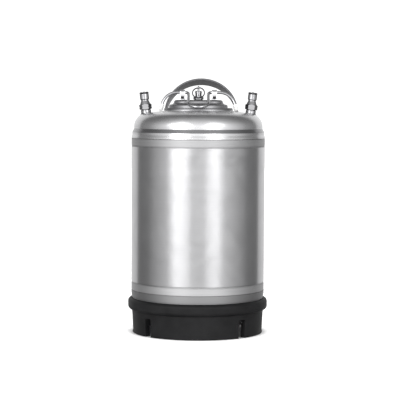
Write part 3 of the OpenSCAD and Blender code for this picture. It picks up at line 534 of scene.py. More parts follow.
boot_rubber = moulded_rubber()
boot = spun("boot_moulding", [
    (boot_in_r, boot_foot_chamfer), (boot_in_r + boot_foot_chamfer, 0),
    *arc(boot_lip_r - boot_lip_round, boot_lip_round, boot_lip_round, -90, 0, 4),
    *arc(boot_lip_r - boot_lip_round, boot_lip_h - boot_lip_round, boot_lip_round, 0, 70, 4),
    (boot_wall_low_r + lip_root_w, boot_lip_h + lip_root_low), (boot_wall_low_r, boot_lip_h + lip_root_high),
    (boot_wall_top_r - wall_ease, bead_low - wall_end),
    *arc(boot_wall_top_r + bead_fillet_r - wall_ease, bead_low - bead_fillet_r, bead_fillet_r, 180, 90, 4),
    *arc(bead_x, bead_low + bead_edge_r, bead_edge_r, -90, 0, 14),
    *arc(bead_x, boot_h - bead_edge_r, bead_edge_r, 0, 78, 12),
    (bead_x, boot_h), *arc(dish_knuckle_x, dish_knuckle_z, seat_r, seat_from, seat_to, 10),
    (boot_in_r, boot_foot_chamfer)])
for quarter in range(4):
    slot_cutter = block((slot_w, slot_through, 2 * slot_h))
    modify(slot_cutter, "BEVEL", width=slot_corner_r * MM, segments=5, limit_method="NONE", affect="EDGES")
    slot_cutter.matrix_world = (Matrix.Rotation(math.radians(45 + 90 * quarter + slot_turn), 4, "Z")
                                @ Matrix.Translation((0, -shell_r * MM, 0)))
    cut(boot, slot_cutter)
dress(boot, boot_rubber, "boot_rubber", "keg", "base_boot")

# Carry handle: one flat strap of stainless bent to an arch, leaning back behind the lid. Its feet are
# trimmed to the crown and welded all round.
handle_w = 25.4
handle_t = 3.0
handle_r = 60.4
handle_lean = 20.0
handle_shift = 4.8
handle_back = 45.0
handle_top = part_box("carry_handle")[1].z / MM
lean = math.radians(handle_lean)
handle_foot_z = crown_height(handle_r, handle_back)
handle_z = handle_top - handle_r * math.cos(lean) - handle_w / 2 * math.sin(lean)
handle_y = handle_back - (handle_foot_z - handle_z) * math.tan(lean)
handle_place = (Matrix.Translation(Vector((handle_shift, handle_y, handle_z)) * MM)
                @ Matrix.Rotation(math.radians(90) - lean, 4, "X"))
handle_bead_r = 1.3
handle_bead_out = 0.2
handle_edge_r = 0.7
handle_edge_dark = 0.2
handle_overrun = 6
strap_grain_w, strap_grain_len = 1.5, 20.0
trim_sink = 0.05
SIDES = (("left", -1), ("right", 1))


def settle(piece, matrix):
    """Moves a piece to its place, with the place in its mesh."""
    take(piece)
    piece.matrix_world = matrix
    bpy.ops.object.transform_apply(location=True, rotation=True, scale=True)


def wire(name, points, r, resolution=6):
    """A round wire or bead along points in millimetres. It closes where its last point is its first."""
    piece = draw(name, points)
    bpy.ops.mesh.select_all(action="SELECT")
    bpy.ops.mesh.remove_doubles(threshold=MERGE)
    bpy.ops.object.mode_set(mode="OBJECT")
    bpy.ops.object.convert(target="CURVE")
    piece = bpy.context.object
    piece.data.bevel_depth = r * MM
    piece.data.bevel_resolution = resolution
    piece.data.use_fill_caps = True
    bpy.ops.object.convert(target="MESH")
    piece = bpy.context.object
    bpy.ops.object.mode_set(mode="EDIT")
    close_up()
    return piece


def crown_block():
    """The space under the crown and its knuckle, for trimming what is welded on them."""
    return spun("crown_block", [
        (0, neck_z), (neck_r - trim_sink, neck_z),
        *arc(knuckle_x, knuckle_z, knuckle_r - trim_sink, 0, 90 - crown_edge, 28),
        *arc(0, crown_z, crown_r - trim_sink, 90 - crown_edge, 90, 12)[1:]])


def strap_stainless():
    """Stainless strap with its mill finish: fine grain along the strap and a soft dull sheen, a little
    darker than the polished heads, and dark sheared edges. The grain is drawn 1.5 mm wide so that it
    shows."""
    material, shader = start_material("strap_stainless", {"Metallic": 1.0})
    link = material.node_tree.links.new
    place = add_node(material, "ShaderNodeTexCoord").outputs["Object"]
    stretch = add_node(material, "ShaderNodeMapping", {
        "Vector": place,
        "Scale": [1 / (size * MM) for size in (strap_grain_len, strap_grain_w, strap_grain_len)]}).outputs[0]
    grain = add_node(material, "ShaderNodeTexNoise", {
        "Vector": stretch, "Scale": 1.0, "Detail": 4.0, "Roughness": 0.6}).outputs["Fac"]
    tone = add_node(material, "ShaderNodeMix", {
        0: grain, MIX_A: linear("#929294"), MIX_B: linear("#a8a8a9")}, data_type="RGBA").outputs[MIX_OUT]
    across = add_node(material, "ShaderNodeVectorMath", {
        0: place, 1: (0, -math.cos(lean), math.sin(lean))}, operation="DOT_PRODUCT").outputs["Value"]
    middle = handle_z * math.sin(lean) - handle_y * math.cos(lean)
    off_middle = add_node(material, "ShaderNodeMath", {
        0: across, 1: middle * MM}, operation="SUBTRACT").outputs[0]
    sheared = add_node(material, "ShaderNodeMapRange", {
        "Value": add_node(material, "ShaderNodeMath", {0: off_middle}, operation="ABSOLUTE").outputs[0],
        "From Min": (handle_w / 2 - handle_edge_r) * MM,
        "From Max": (handle_w / 2 - handle_edge_dark) * MM}).outputs[0]
    edged = add_node(material, "ShaderNodeMix", {
        0: sheared, MIX_A: tone, MIX_B: linear("#6e6e70")}, data_type="RGBA").outputs[MIX_OUT]
    link(edged, shader.inputs["Base Color"])
    satin = add_node(material, "ShaderNodeMapRange", {
        "Value": grain, "From Min": 0.3, "From Max": 0.7, "To Min": 0.42, "To Max": 0.52}).outputs[0]
    link(satin, shader.inputs["Roughness"])
    bump = add_node(material, "ShaderNodeBump", {
        "Height": grain, "Strength": 0.1, "Distance": 0.05 * MM}).outputs[0]
    link(bump, shader.inputs["Normal"])
    return material


def grained(name, constants, tone, roughness, bump=None):
    """A material whose tone, roughness and bump follow noise grains. Each is given as its grain, which is a
    size in millimetres along x, y and z with the noise's detail and roughness, and then its two values."""
    material, shader = start_material(name, constants)
    link = material.node_tree.links.new
    place = add_node(material, "ShaderNodeTexCoord").outputs["Object"]
    fields = {}
    for grain in dict.fromkeys(recipe[0] for recipe in (tone, roughness, bump) if recipe):
        sizes, detail, coarse = grain
        stretch = add_node(material, "ShaderNodeMapping", {
            "Vector": place, "Scale": [1 / (size * MM) for size in sizes]}).outputs[0]
        fields[grain] = add_node(material, "ShaderNodeTexNoise", {
            "Vector": stretch, "Scale": 1.0, "Detail": detail, "Roughness": coarse}).outputs["Fac"]
    grain, dark, pale = tone
    colour = add_node(material, "ShaderNodeMix", {
        0: fields[grain], MIX_A: linear(dark), MIX_B: linear(pale)}, data_type="RGBA").outputs[MIX_OUT]
    link(colour, shader.inputs["Base Color"])
    grain, smooth, rough = roughness
    sheen = add_node(material, "ShaderNodeMapRange", {
        "Value": fields[grain], "From Min": 0.3, "From Max": 0.7,
        "To Min": smooth, "To Max": rough}).outputs[0]
    link(sheen, shader.inputs["Roughness"])
    if bump:
        grain, strength, depth = bump
        raised = add_node(material, "ShaderNodeBump", {
            "Height": fields[grain], "Strength": strength, "Distance": depth * MM}).outputs[0]
        link(raised, shader.inputs["Normal"])
    return material


def bent_strap(name, path, width, thickness, up, **settings):
    """A strip bent along a path in millimetres, drawn out across its width and thickened inwards. Up is the
    axis that points out of its crest."""
    piece = draw(name, path)
    bpy.ops.mesh.select_all(action="SELECT")
    bpy.ops.mesh.extrude_region_move(TRANSFORM_OT_translate={"value": Vector(width) * MM})
    bpy.ops.mesh.select_all(action="SELECT")
    bpy.ops.mesh.normals_make_consistent(inside=False)
    bpy.ops.object.mode_set(mode="OBJECT")
    crest = max(piece.data.polygons, key=lambda face: face.center[up])
    if crest.normal[up] < 0:
        piece.data.flip_normals()
    modify(piece, "SOLIDIFY", thickness=thickness * MM, offset=-1.0, **settings)
    return piece


strap_steel = strap_stainless()
# Weld metal as it is left: small overlapping ripples, brighter than the plate and lightly tinted by heat.
ripple, heat = ((1.8, 1.8, 1.8), 2.0, 0.5), ((9.0, 9.0, 9.0), 2.0, 0.5)
bead_steel = grained("weld_metal", {"Metallic": 1.0}, (heat, "#8f8d8a", "#c4c3c1"), (ripple, 0.25, 0.4),
                     (ripple, 0.6, 0.3))
handle_arch = arc(0, 0, handle_r, -handle_overrun, 180 + handle_overrun, 96)
handle = bent_strap("handle_strap", [(x, y, -handle_w / 2) for x, y in handle_arch],
                    (0, 0, handle_w), handle_t, 1)
modify(handle, "BEVEL", width=handle_edge_r * MM, segments=3, limit_method="ANGLE",
       angle_limit=math.radians(50))
settle(handle, handle_place)
cut(handle, crown_block())
dress(handle, strap_steel, "satin_steel", "keg", "carry_handle")


def strap_meets_crown(side, r, across):
    """Where a line along one edge of the strap meets the crown, in millimetres."""
    low, high = math.radians(-handle_overrun), math.radians(40)
    for _ in range(40):
        turn = (low + high) / 2
        spot = handle_place @ (Vector((side * r * math.cos(turn), r * math.sin(turn), across)) * MM) / MM
        if spot.z < crown_height(spot.x, spot.y):
            low = turn
        else:
            high = turn
    return spot


for side_name, side in SIDES:
    half_w = handle_w / 2
    stations = [half_w * (i / 8 - 1) for i in range(17)]
    outer = [strap_meets_crown(side, handle_r + handle_bead_out, across) for across in stations]
    inner = [strap_meets_crown(side, handle_r - handle_t - handle_bead_out, across)
             for across in reversed(stations)]
    bead = wire(f"handle_weld_{side_name}", [*outer, *inner, outer[0]], handle_bead_r, 4)
    dress(bead, bead_steel, "satin_steel", "keg", smooth=60)

# Plug adapters: short threaded stainless necks welded into the crown, one on each side, leaning out a little.
# A plain collar with a weld fillet round its foot shows under each post; the thread is inside the post.
GAS, LIQUID = -1, 1
POSTS = (("gas", GAS), ("liquid", LIQUID))
SMALL_ROUND = 64
post_reach = 84.5
post_lean = math.radians(6.3)
plug_r = 7.54
plug_bore_r = 4.4
plug_h = 11.0
plug_depth = 4.0
plug_collar_r = 8.3
plug_weld = 1.6
thread_pitch = 1.3
thread_depth = 0.45
plug_edge = 0.4
post_hex_z = 5.6
plug_collar_h = post_hex_z - 0.5


def at_post(side):
    """The place on the crown where a post stands, along the post's lean."""
    foot = Vector((side * post_reach, 0, crown_height(post_reach, 0))) * MM
    return Matrix.Translation(foot) @ Matrix.Rotation(side * post_lean, 4, "Y")


def thread(r, low, high, pitch, depth):
    """The outline of a threaded stretch, as crests and roots."""
    turns = int((high - low) / pitch)
    outline = []
    for i in range(turns):
        outline += [(r - depth, low + i * pitch), (r, low + (i + 0.4) * pitch), (r, low + (i + 0.6) * pitch)]
    return outline + [(r - depth, low + turns * pitch)]


# Turned and polished stainless bar: bright, with fine tool marks round it that dull it a little in places.
tool_marks = ((20.0, 20.0, 0.8), 3.0, 0.6)
bar_steel = grained("machined_stainless", {"Metallic": 1.0}, (tool_marks, "#8c8c8e", "#a6a6a8"),
                    (tool_marks, 0.08, 0.15), (tool_marks, 0.08, 0.04))
collar_bore_r = (plug_r + plug_bore_r) / 2
for side_name, side in POSTS:
    adapter = spun(f"{side_name}_adapter_neck", [
        (plug_bore_r, -plug_depth), (plug_r, -plug_depth), (plug_r, plug_collar_h - 2 * plug_edge),
        *thread(plug_r, plug_collar_h, plug_h - 1.0, thread_pitch, thread_depth),
        (plug_r - plug_edge, plug_h - plug_edge), (plug_r - 2 * plug_edge, plug_h), (plug_bore_r, plug_h),
        (plug_bore_r, -plug_depth)], SMALL_ROUND)
    settle(adapter, at_post(side))
    plug_collar = spun("adapter_collar", [
        (collar_bore_r, -plug_depth), (plug_collar_r + 2 * plug_weld, -plug_depth),
        *[(plug_collar_r + 0.9 * plug_weld * (1 - i / 6) ** 2, plug_weld * (i / 3 - 1)) for i in range(7)],
        (plug_collar_r, plug_collar_h - plug_edge), (plug_collar_r - plug_edge, plug_collar_h),
        (collar_bore_r, plug_collar_h), (collar_bore_r, -plug_depth)], SMALL_ROUND)
    settle(plug_collar, at_post(side))
    cut(plug_collar, crown_block())
    cut(adapter, plug_collar, "UNION")
    dress(adapter, bar_steel, "satin_steel", "keg", f"{side_name}_plug_adapter")

# Posts: turned stainless nuts with a hexagon, a waist that the coupling's balls drop into and a round head
# with an O-ring near its top. The gas post has a notch round its hexagon's corners.
post_flats = 17.46
post_flat_r = post_flats / 2
post_hex_r = post_flat_r / math.cos(math.radians(30))
post_hex_h = 9.0
post_taper = 5.0
waist_r = 6.3
waist_h = 1.6
post_r = 7.45
post_head_h = 11.6
post_shoulder = 1.2
post_chamfer = 0.5
post_lip = 2.9
post_mouth_r = 3.1
poppet_bore_r = 4.6
thread_bore_r = 7.64
thread_top = 14.2
post_ring_r = 1.0
post_ring_proud = 0.15
post_ring_drop = 2.0
ring_groove_gap = 0.1
ring_groove_edge = 0.2
nut_overlap = 1.0
cut_over = 0.5
taper_in = 0.3
waist_ease, waist_ease_h = 0.3, 0.25
head_ease, head_ease_in = 0.2, 0.15
hex_cut_in, hex_cut_low, hex_cut_top = 0.2, 1.1, 1.5
mouth_flare, mouth_flare_h = 0.6, 0.5
taper_z = post_hex_z + post_hex_h
waist_z = taper_z + post_taper
head_z = waist_z + waist_h
post_top = head_z + post_head_h + post_shoulder
post_ring_z = post_top - post_ring_drop
groove_low = post_ring_z - post_ring_r - ring_groove_gap
groove_high = post_ring_z + post_ring_r + ring_groove_gap
groove_r = post_r + post_ring_proud - 2 * post_ring_r
hex_chamfer = post_hex_r - post_flat_r


def rod(name, r, length, z, turn, sides):
    """A plain bar with flat ends, its middle at a height in millimetres, turned by angles in degrees."""
    bpy.ops.object.select_all(action="DESELECT")
    bpy.ops.mesh.primitive_cylinder_add(vertices=sides, radius=r * MM, depth=length * MM,
                                        location=(0, 0, z * MM), rotation=[math.radians(t) for t in turn])
    piece = bpy.context.object
    piece.name = name
    bpy.ops.object.transform_apply(location=True, rotation=True, scale=True)
    return piece


# Black nitrile seal rubber: smooth and faintly shiny, with a light bloom.
bloom = ((4.0, 4.0, 4.0), 3.0, 0.6)
ring_rubber = grained("seal_rubber", {"Specular IOR Level": 0.45}, (bloom, "#141415", "#232324"),
                      (bloom, 0.3, 0.45))
for side_name, side in POSTS:
    post = spun(f"{side_name}_post_turned", [
        (0, taper_z - nut_overlap), (post_flat_r - taper_in, taper_z - nut_overlap),
        (post_flat_r - taper_in, taper_z), (waist_r + waist_ease, waist_z - waist_ease_h), (waist_r, waist_z),
        (waist_r, head_z), (post_r - head_ease, head_z + post_shoulder - head_ease_in),
        (post_r, head_z + post_shoulder + head_ease),
        (post_r, groove_low - ring_groove_edge), (post_r - ring_groove_edge, groove_low),
        (groove_r, groove_low), (groove_r, groove_high),
        (post_r - ring_groove_edge, groove_high), (post_r, groove_high + ring_groove_edge),
        (post_r, post_top - post_chamfer), (post_r - head_ease_in, post_top - head_ease),
        (post_r - post_chamfer, post_top), (0, post_top)], SMALL_ROUND)
    nut = rod("post_hexagon", post_hex_r, taper_z - post_hex_z, (post_hex_z + taper_z) / 2, (0, 0, 30), 6)
    chamfers = spun("hexagon_chamfers", [
        (0, post_hex_z - cut_over), (post_flat_r - 2 * hex_cut_in, post_hex_z - cut_over),
        (post_flat_r - hex_cut_in, post_hex_z), (post_hex_r + hex_cut_in, post_hex_z + hex_cut_low),
        (post_hex_r + hex_cut_in, taper_z - hex_cut_top), (post_flat_r - hex_cut_in, taper_z),
        (post_flat_r - 2 * hex_cut_in, taper_z + cut_over), (0, taper_z + cut_over)], SMALL_ROUND)
    cut(nut, chamfers, "INTERSECT")
    if side == GAS:
        mid = post_hex_z + post_hex_h / 2
        cut(nut, spun("corner_notch", [
            (post_flat_r + hex_chamfer / 2, mid), (post_hex_r + 1, mid + hex_chamfer / 2 + 1),
            (post_hex_r + 1, mid - hex_chamfer / 2 - 1), (post_flat_r + hex_chamfer / 2, mid)], SMALL_ROUND))
    cut(post, nut, "UNION")
    cut(post, spun("post_bores", [
        (0, post_hex_z - cut_over), (thread_bore_r, post_hex_z - cut_over), (thread_bore_r, thread_top),
        (poppet_bore_r, thread_top), (poppet_bore_r, post_top - post_lip),
        (post_mouth_r, post_top - post_lip), (post_mouth_r, post_top - mouth_flare_h),
        (post_mouth_r + mouth_flare, post_top + 0.1), (0, post_top + 0.1)], SMALL_ROUND))
    settle(post, at_post(side))
    dress(post, bar_steel, "bright_steel", "keg", f"{side_name}_post", smooth=25)
    o_ring = spun(f"{side_name}_post_ring", [
        *arc(post_r + post_ring_proud - post_ring_r, post_ring_z, post_ring_r, 0, 360, 20)], SMALL_ROUND)
    settle(o_ring, at_post(side))
    dress(o_ring, ring_rubber, "seal_rubber", "keg", f"{side_name}_post_o_ring")

# Poppets: spring-loaded valve pins in the posts. A rubber seal under the post's lip closes the way, the
# pin's tip stands in the post's mouth, and a coil spring stands between the disc and the dip tube's flange.
poppet_r = 4.2
poppet_t = 1.4
poppet_pin_r = 1.6
poppet_proud = 0.5
poppet_tail = 7.0
tail_chamfer, disc_chamfer, tip_chamfer = 0.4, 0.2, 0.5
poppet_seal_t = 1.0
poppet_gap = 0.05
poppet_z = post_top - post_lip - poppet_gap - poppet_seal_t - poppet_t
spring_wire_r = 0.4
spring_r = 2.9
spring_foot = 14.15
spring_head = poppet_z - poppet_gap
spring_turns = 6
pin_top = post_top + poppet_proud


def coil(r, low, high, turns, steps=24):
    """Points along a spring's wire."""
    count = turns * steps
    return [(r * math.cos(math.tau * i / steps), r * math.sin(math.tau * i / steps),
             low + (high - low) * i / count) for i in range(count + 1)]


# Drawn stainless spring wire: dark and clean, with a faint drawn grain.
drawn_grain = ((1.0, 1.0, 1.0), 2.0, 0.5)
coil_steel = grained("spring_wire", {"Metallic": 1.0}, (drawn_grain, "#3c3c3e", "#545456"),
                     (drawn_grain, 0.18, 0.28))
for side_name, side in POSTS:
    pin = spun(f"{side_name}_valve_pin", [
        (0, poppet_z - poppet_tail), (poppet_pin_r - tail_chamfer, poppet_z - poppet_tail),
        (poppet_pin_r, poppet_z - poppet_tail + tail_chamfer), (poppet_pin_r, poppet_z),
        (poppet_r - disc_chamfer, poppet_z), (poppet_r, poppet_z + disc_chamfer),
        (poppet_r, poppet_z + poppet_t), (poppet_pin_r, poppet_z + poppet_t),
        (poppet_pin_r, pin_top - tip_chamfer), (poppet_pin_r - tip_chamfer, pin_top), (0, pin_top)], SMALL_ROUND)
    settle(pin, at_post(side))
    dress(pin, bar_steel, "bright_steel", f"{side_name}_valve", f"{side_name}_poppet")
    valve_coil = wire(f"{side_name}_valve_coil", coil(
        spring_r, spring_foot + spring_wire_r, spring_head - spring_wire_r, spring_turns), spring_wire_r, 2)
    settle(valve_coil, at_post(side))
    dress(valve_coil, coil_steel, "spring_steel", "keg", f"{side_name}_poppet_spring", smooth=60)
    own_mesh(valve_coil)
# The dip tubes, the lock nut and the seals inside keep their plain shapes and only get their materials.
hidden_steel = ("gas_dip_tube", "liquid_dip_tube", "relief_lock_nut")
hidden_seals = ("gas_tube_o_ring", "liquid_tube_o_ring", "gas_poppet_seal", "liquid_poppet_seal", "lid_seal",
                "relief_valve_seal")
for nodes, material in ((hidden_steel, bar_steel), (hidden_seals, ring_rubber)):
    for node in nodes:
        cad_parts[node].data.materials.clear()
        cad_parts[node].data.materials.append(material)

# Lid: one oval stainless pressing that hangs in the mouth. Its flange carries the seal under the mouth's lip,
# its wall comes up through the mouth, and a plateau with sloping sides carries the bail and the relief valve.
lid_wall = 1.7
lid_gap = 1.2
flange_w = 6.3
shoulder_r = 3.0
plateau = (85.0, 42.0)
plateau_bend_r = 4.3
plateau_turn = 81.0
plateau_h = 7.3
plateau_foot_out = 1.5
plateau_top_in = 7.0
plateau_flat_in = 8.5
flange_edge = 0.5
flange_bend, bend_mid = 1.2, 0.35
blank_r = 50.0
seal_room = 6.25
hole_loop_r = 9.0
shoulder_rise = 5.54
shoulder_z = rim_z + shoulder_rise
plateau_z = shoulder_z + plateau_h
flange_z = rim_z - lip_depth - seal_room
valve_hole_r = 6.0


def on_circle(r, z):
    """A loop round the relief valve's hole."""
    return lambda turn: (r * math.cos(turn), r * math.sin(turn), z)


bpy.ops.object.select_all(action="DESELECT")
bpy.ops.mesh.primitive_circle_add(vertices=ROUND, radius=blank_r * MM)
lid = bpy.context.object
lid.name = "lid_pressing"
bpy.ops.object.mode_set(mode="EDIT")
mark_turns(lid)
bend_x = -lid_gap - shoulder_r
lid_loops = [
    on_oval(mouth, flange_w - flange_edge, flange_z), on_oval(mouth, -lid_gap + flange_bend, flange_z),
    on_oval(mouth, -lid_gap + bend_mid, flange_z + bend_mid),
    on_oval(mouth, -lid_gap, flange_z + flange_bend),
    *[on_oval(mouth, x, z) for x, z in arc(bend_x, shoulder_z - shoulder_r, shoulder_r, 0, 90, 10)],
    *[on_oval(plateau, x, z) for x, z in arc(
        plateau_foot_out, shoulder_z + plateau_bend_r, plateau_bend_r, -90, -90 - plateau_turn, 8)],
    *[on_oval(plateau, x, z) for x, z in arc(
        -plateau_top_in, plateau_z - plateau_bend_r, plateau_bend_r, 90 - plateau_turn, 90, 8)],
    on_oval(plateau, -plateau_flat_in, plateau_z), on_circle(hole_loop_r, plateau_z),
    on_circle(valve_hole_r, plateau_z)]
lid_mesh = bmesh.from_edit_mesh(lid.data)
turn_layer = lid_mesh.verts.layers.float["turn"]
for corner in lid_mesh.verts:
    corner.co = Vector(on_oval(mouth, flange_w, flange_z - flange_edge)(corner[turn_layer])) * MM
bmesh.update_edit_mesh(lid.data)
for place in lid_loops:
    draw_on(lid, place)
end_loops(lid)
if lid.data.polygons[-1].normal.z < 0:
    lid.data.flip_normals()
modify(lid, "SOLIDIFY", thickness=lid_wall * MM, offset=-1.0, use_even_offset=True)
# Pressed stainless tumbled with stones: a duller and greyer metal than the polished head, clouded in soft
# patches, with fine pits. The pits are drawn 1 mm wide so that they show.
clouds, pits = ((20.0, 20.0, 20.0), 3.0, 0.6), ((1.0, 1.0, 1.0), 2.0, 0.5)
lid_steel = grained("tumbled_stainless", {"Metallic": 1.0}, (clouds, "#868688", "#9e9ea0"),
                    (clouds, 0.4, 0.48), (pits, 0.1, 0.03))
dress(lid, lid_steel, "bright_steel", "lid", "lid_plate")

# Bail brackets: two hairpin straps of stainless spot welded to the plateau, each looped over the bail's
# pivot, with a window through its front leg.
wire_r = 2.38
pivot_rise = 12.0
pivot_z = plateau_z + pivot_rise
bracket_x = 25.8
bracket_w = 8.3
bracket_t = 1.6
bracket_reach = 17.0
wire_play = 0.07
loop_r = wire_r + wire_play + bracket_t
foot_bend = 1.2
window_w = 5.5
window_h = 3.9
window_sill = 1.9
bracket_edge_r = 0.3
shade_past_wire = 0.25
strap_mark_w = 3.0
half_reach = bracket_reach / 2


def bracket_stainless():
    """Bright strap, with painted shade darkening the inside of the hairpin between its legs."""
    material, shader = start_material("bracket_stainless", {"Metallic": 1.0})
    link = material.node_tree.links.new
    place = add_node(material, "ShaderNodeTexCoord").outputs["Object"]
    parts = add_node(material, "ShaderNodeSeparateXYZ", {"Vector": place}).outputs
    # Painted shade: the hairpin's inside, between its legs and below the pivot, is darkened in colour.
    off = add_node(material, "ShaderNodeMath", {0: parts["Y"]}, operation="ABSOLUTE").outputs[0]
    near = add_node(material, "ShaderNodeMath", {
        0: off, 1: (wire_r + shade_past_wire) * MM}, operation="LESS_THAN").outputs[0]
    low = add_node(material, "ShaderNodeMath", {
        0: parts["Z"], 1: pivot_z * MM}, operation="LESS_THAN").outputs[0]
    inside = add_node(material, "ShaderNodeMath", {0: near, 1: low}, operation="MULTIPLY").outputs[0]
    marks = add_node(material, "ShaderNodeTexNoise", {
        "Vector": place, "Scale": 1 / (strap_mark_w * MM), "Detail": 3.0, "Roughness": 0.6}).outputs["Fac"]
    bright = add_node(material, "ShaderNodeMix", {
        0: marks, MIX_A: linear("#c0c0c2"), MIX_B: linear("#d4d4d6")}, data_type="RGBA").outputs[MIX_OUT]
    tone = add_node(material, "ShaderNodeMix", {
        0: inside, MIX_A: bright, MIX_B: linear("#3a393a")}, data_type="RGBA").outputs[MIX_OUT]
    link(tone, shader.inputs["Base Color"])
    polish = add_node(material, "ShaderNodeMapRange", {
        "Value": marks, "From Min": 0.3, "From Max": 0.7, "To Min": 0.16, "To Max": 0.26}).outputs[0]
    link(polish, shader.inputs["Roughness"])
    return material


bracket_steel = bracket_stainless()
strap_path = [
    (-half_reach, bracket_t), (-loop_r - foot_bend, bracket_t),
    *arc(-loop_r - foot_bend, bracket_t + foot_bend, foot_bend, -90, 0, 5)[1:],
    *arc(0, pivot_rise, loop_r, 180, 0, 24),
    *arc(loop_r + foot_bend, bracket_t + foot_bend, foot_bend, 180, 270, 5), (half_reach, bracket_t)]
for side_name, side in SIDES:
    low_x = side * bracket_x - bracket_w / 2
    bracket = bent_strap(f"bail_bracket_{side_name}", [(low_x, y, plateau_z + z) for y, z in strap_path],
                         (bracket_w, 0, 0), bracket_t, 2, use_even_offset=True)
    window_z = plateau_z + window_sill + window_h / 2
    cut(bracket, block((window_w, bracket_reach, window_h), (side * bracket_x, -half_reach, window_z)))
    modify(bracket, "BEVEL", width=bracket_edge_r * MM, segments=2, limit_method="ANGLE",
           angle_limit=math.radians(50))
    dress(bracket, bracket_steel, "bright_steel", "lid", "bail_brackets")

# Bail: one stainless wire bent to a lever loop at the front, two pivots through the brackets and two legs
# that press on the crown. Pulling the lever up swings the legs off and lets the lid drop.
lever_len = 56.0
lever_w = 32.4
lever_slope = 24.0
lever_bend_r = 5.0
pivot_stub = 4.5
leg_bend_r = 25.0
leg_lean = 10.0
foot_x = 60.8
foot_r = 3.7
foot_len = 7.5
foot_gap = 0.3
foot_edge_r = 0.5
leg_x = bracket_x + bracket_w / 2 + pivot_stub
pivot_over = pivot_z - crown_z
lean_sq = 1 + math.tan(math.radians(leg_lean)) ** 2
foot_reach = crown_r + foot_r + foot_gap
foot_free = pivot_over ** 2 - lean_sq * (pivot_over ** 2 + foot_x ** 2 - foot_reach ** 2)
leg_drop = (pivot_over - math.sqrt(foot_free)) / lean_sq / math.cos(math.radians(leg_lean))
leg_span = Vector((foot_x - leg_x, leg_drop - leg_bend_r))
leg_run = math.sqrt(leg_span.length_squared - leg_bend_r ** 2)
leg_turn = math.atan2(leg_span.y, leg_span.x) + math.atan2(leg_bend_r, leg_run)


def from_pivot(x, y, plane):
    """A point of the bail, y along a plane that hangs from the pivot at an angle."""
    return x, y * math.cos(math.radians(plane)), pivot_z + y * math.sin(math.radians(plane))


# Bright drawn and polished stainless wire, with faint marks along it.
wire_marks = ((4.0, 4.0, 4.0), 4.0, 0.6)
wire_steel = grained("polished_wire", {"Metallic": 1.0}, (wire_marks, "#a0a0a2", "#b6b6b8"),
                     (wire_marks, 0.06, 0.14))
# White nylon, a little milky, with a soft shine.
milk = ((3.0, 3.0, 3.0), 3.0, 0.5)
foot_nylon = grained("white_nylon", {
    "Subsurface Weight": 0.25, "Subsurface Scale": 2 * MM, "Subsurface Radius": (1.0, 1.0, 1.0)},
    (milk, "#e4e4e2", "#f6f6f5"), (milk, 0.28, 0.42))
lever_plane = 180 + lever_slope
leg_plane = 270 - leg_lean
turn_deg = math.degrees(leg_turn)
leg_end = Vector((leg_x, leg_bend_r)) + Matrix.Rotation(leg_turn, 2) @ Vector((leg_run, -leg_bend_r))
right_leg = [*arc(leg_x, leg_bend_r, leg_bend_r, -90, turn_deg - 90, 24), tuple(leg_end)]
half_lever = [*arc(0, lever_len - lever_w / 2, lever_w / 2, 90, 0, 20),
              *arc(lever_w / 2 + lever_bend_r, lever_bend_r, lever_bend_r, 180, 270, 10)]
right_half = [*[from_pivot(x, y, lever_plane) for x, y in half_lever],
              *[from_pivot(x, y, leg_plane) for x, y in right_leg]]
left_half = [(-x, y, z) for x, y, z in reversed(right_half)]
bail = wire("bail_wire_bent", [*left_half, *right_half[1:]], wire_r, 8)
dress(bail, wire_steel, "bright_steel", "bail", "bail_wire", smooth=60)
for side_name, side in SIDES:
    sleeve = spun(f"bail_sleeve_{side_name}", [
        *arc(0, 0, foot_r, -90, 0, 14), (foot_r, foot_len - foot_edge_r),
        *arc(foot_r - foot_edge_r, foot_len - foot_edge_r, foot_edge_r, 20, 90, 4),
        (wire_r + wire_play, foot_len), (wire_r + wire_play, 0), (0, 0)], SMALL_ROUND)
    foot_turn = Matrix.Rotation(leg_turn, 4, "Z") @ Matrix.Rotation(math.radians(-90), 4, "Y")
    sleeve_place = (Matrix.Translation((0, 0, pivot_z * MM))
                    @ Matrix.Rotation(math.radians(leg_plane), 4, "X")
                    @ Matrix.Translation((foot_x * MM, leg_drop * MM, 0)) @ foot_turn)
    if side < 0:
        sleeve_place = Matrix.Scale(-1, 4, (1, 0, 0)) @ sleeve_place
    settle(sleeve, sleeve_place)
    bpy.ops.object.mode_set(mode="EDIT")
    close_up()
    dress(sleeve, foot_nylon, "white_nylon", "bail", "bail_feet", smooth=50)

# Relief valve: a turned stainless body screwed through the plateau on a rubber gasket, with a cap, a sprung
# stem and a split ring to pull it by. Cross holes under the cap let the gas out.
gasket_r = 7.0
gasket_t = 1.0
gasket_edge = 0.25
gasket_play = 0.1
relief_flats = 14.3
relief_flat_r = relief_flats / 2
relief_hex_r = relief_flat_r / math.cos(math.radians(30))
relief_hex_h = 4.0
relief_r = 5.5
relief_body_h = 8.0
relief_shank_r = 5.9
relief_shank_l = 10.0
relief_thread_pitch = 1.4
relief_thread_depth = 0.4
relief_thread_end = 0.6
thread_clear = 0.2
relief_nut_in, relief_nut_overlap = 0.3, 0.5
relief_chamfer = 0.3
relief_hex_cut, relief_cut_in, relief_cut_end = 0.65, 0.1, 0.3
cap_rounding = ((0.2, 0.0), (0.0, 0.2), (0.1, 0.7), (0.8, 1.5), (1.2, 1.6))
relief_groove = 0.35
relief_groove_low, relief_groove_high = 1.6, 2.2
relief_groove_edge = 0.4
vent_rise = 2.0
eye_edge_r = 0.4
relief_bore_r = 3.9
relief_port_r = 2.2
relief_seat = -2.0
relief_cap_h = 1.6
relief_spigot = 2.0
stem_r = 1.6
vent_r = 1.1
eye_r = 2.7
eye_t = 3.0
eye_rise = 5.0
ring_r = 9.7
ring_wire_r = 0.8
ring_pitch = 1.0
ring_lean = math.radians(33)
ring_hole_r = 1.35
relief_low = -lid_wall - relief_shank_l
relief_body_z = gasket_t + relief_hex_h
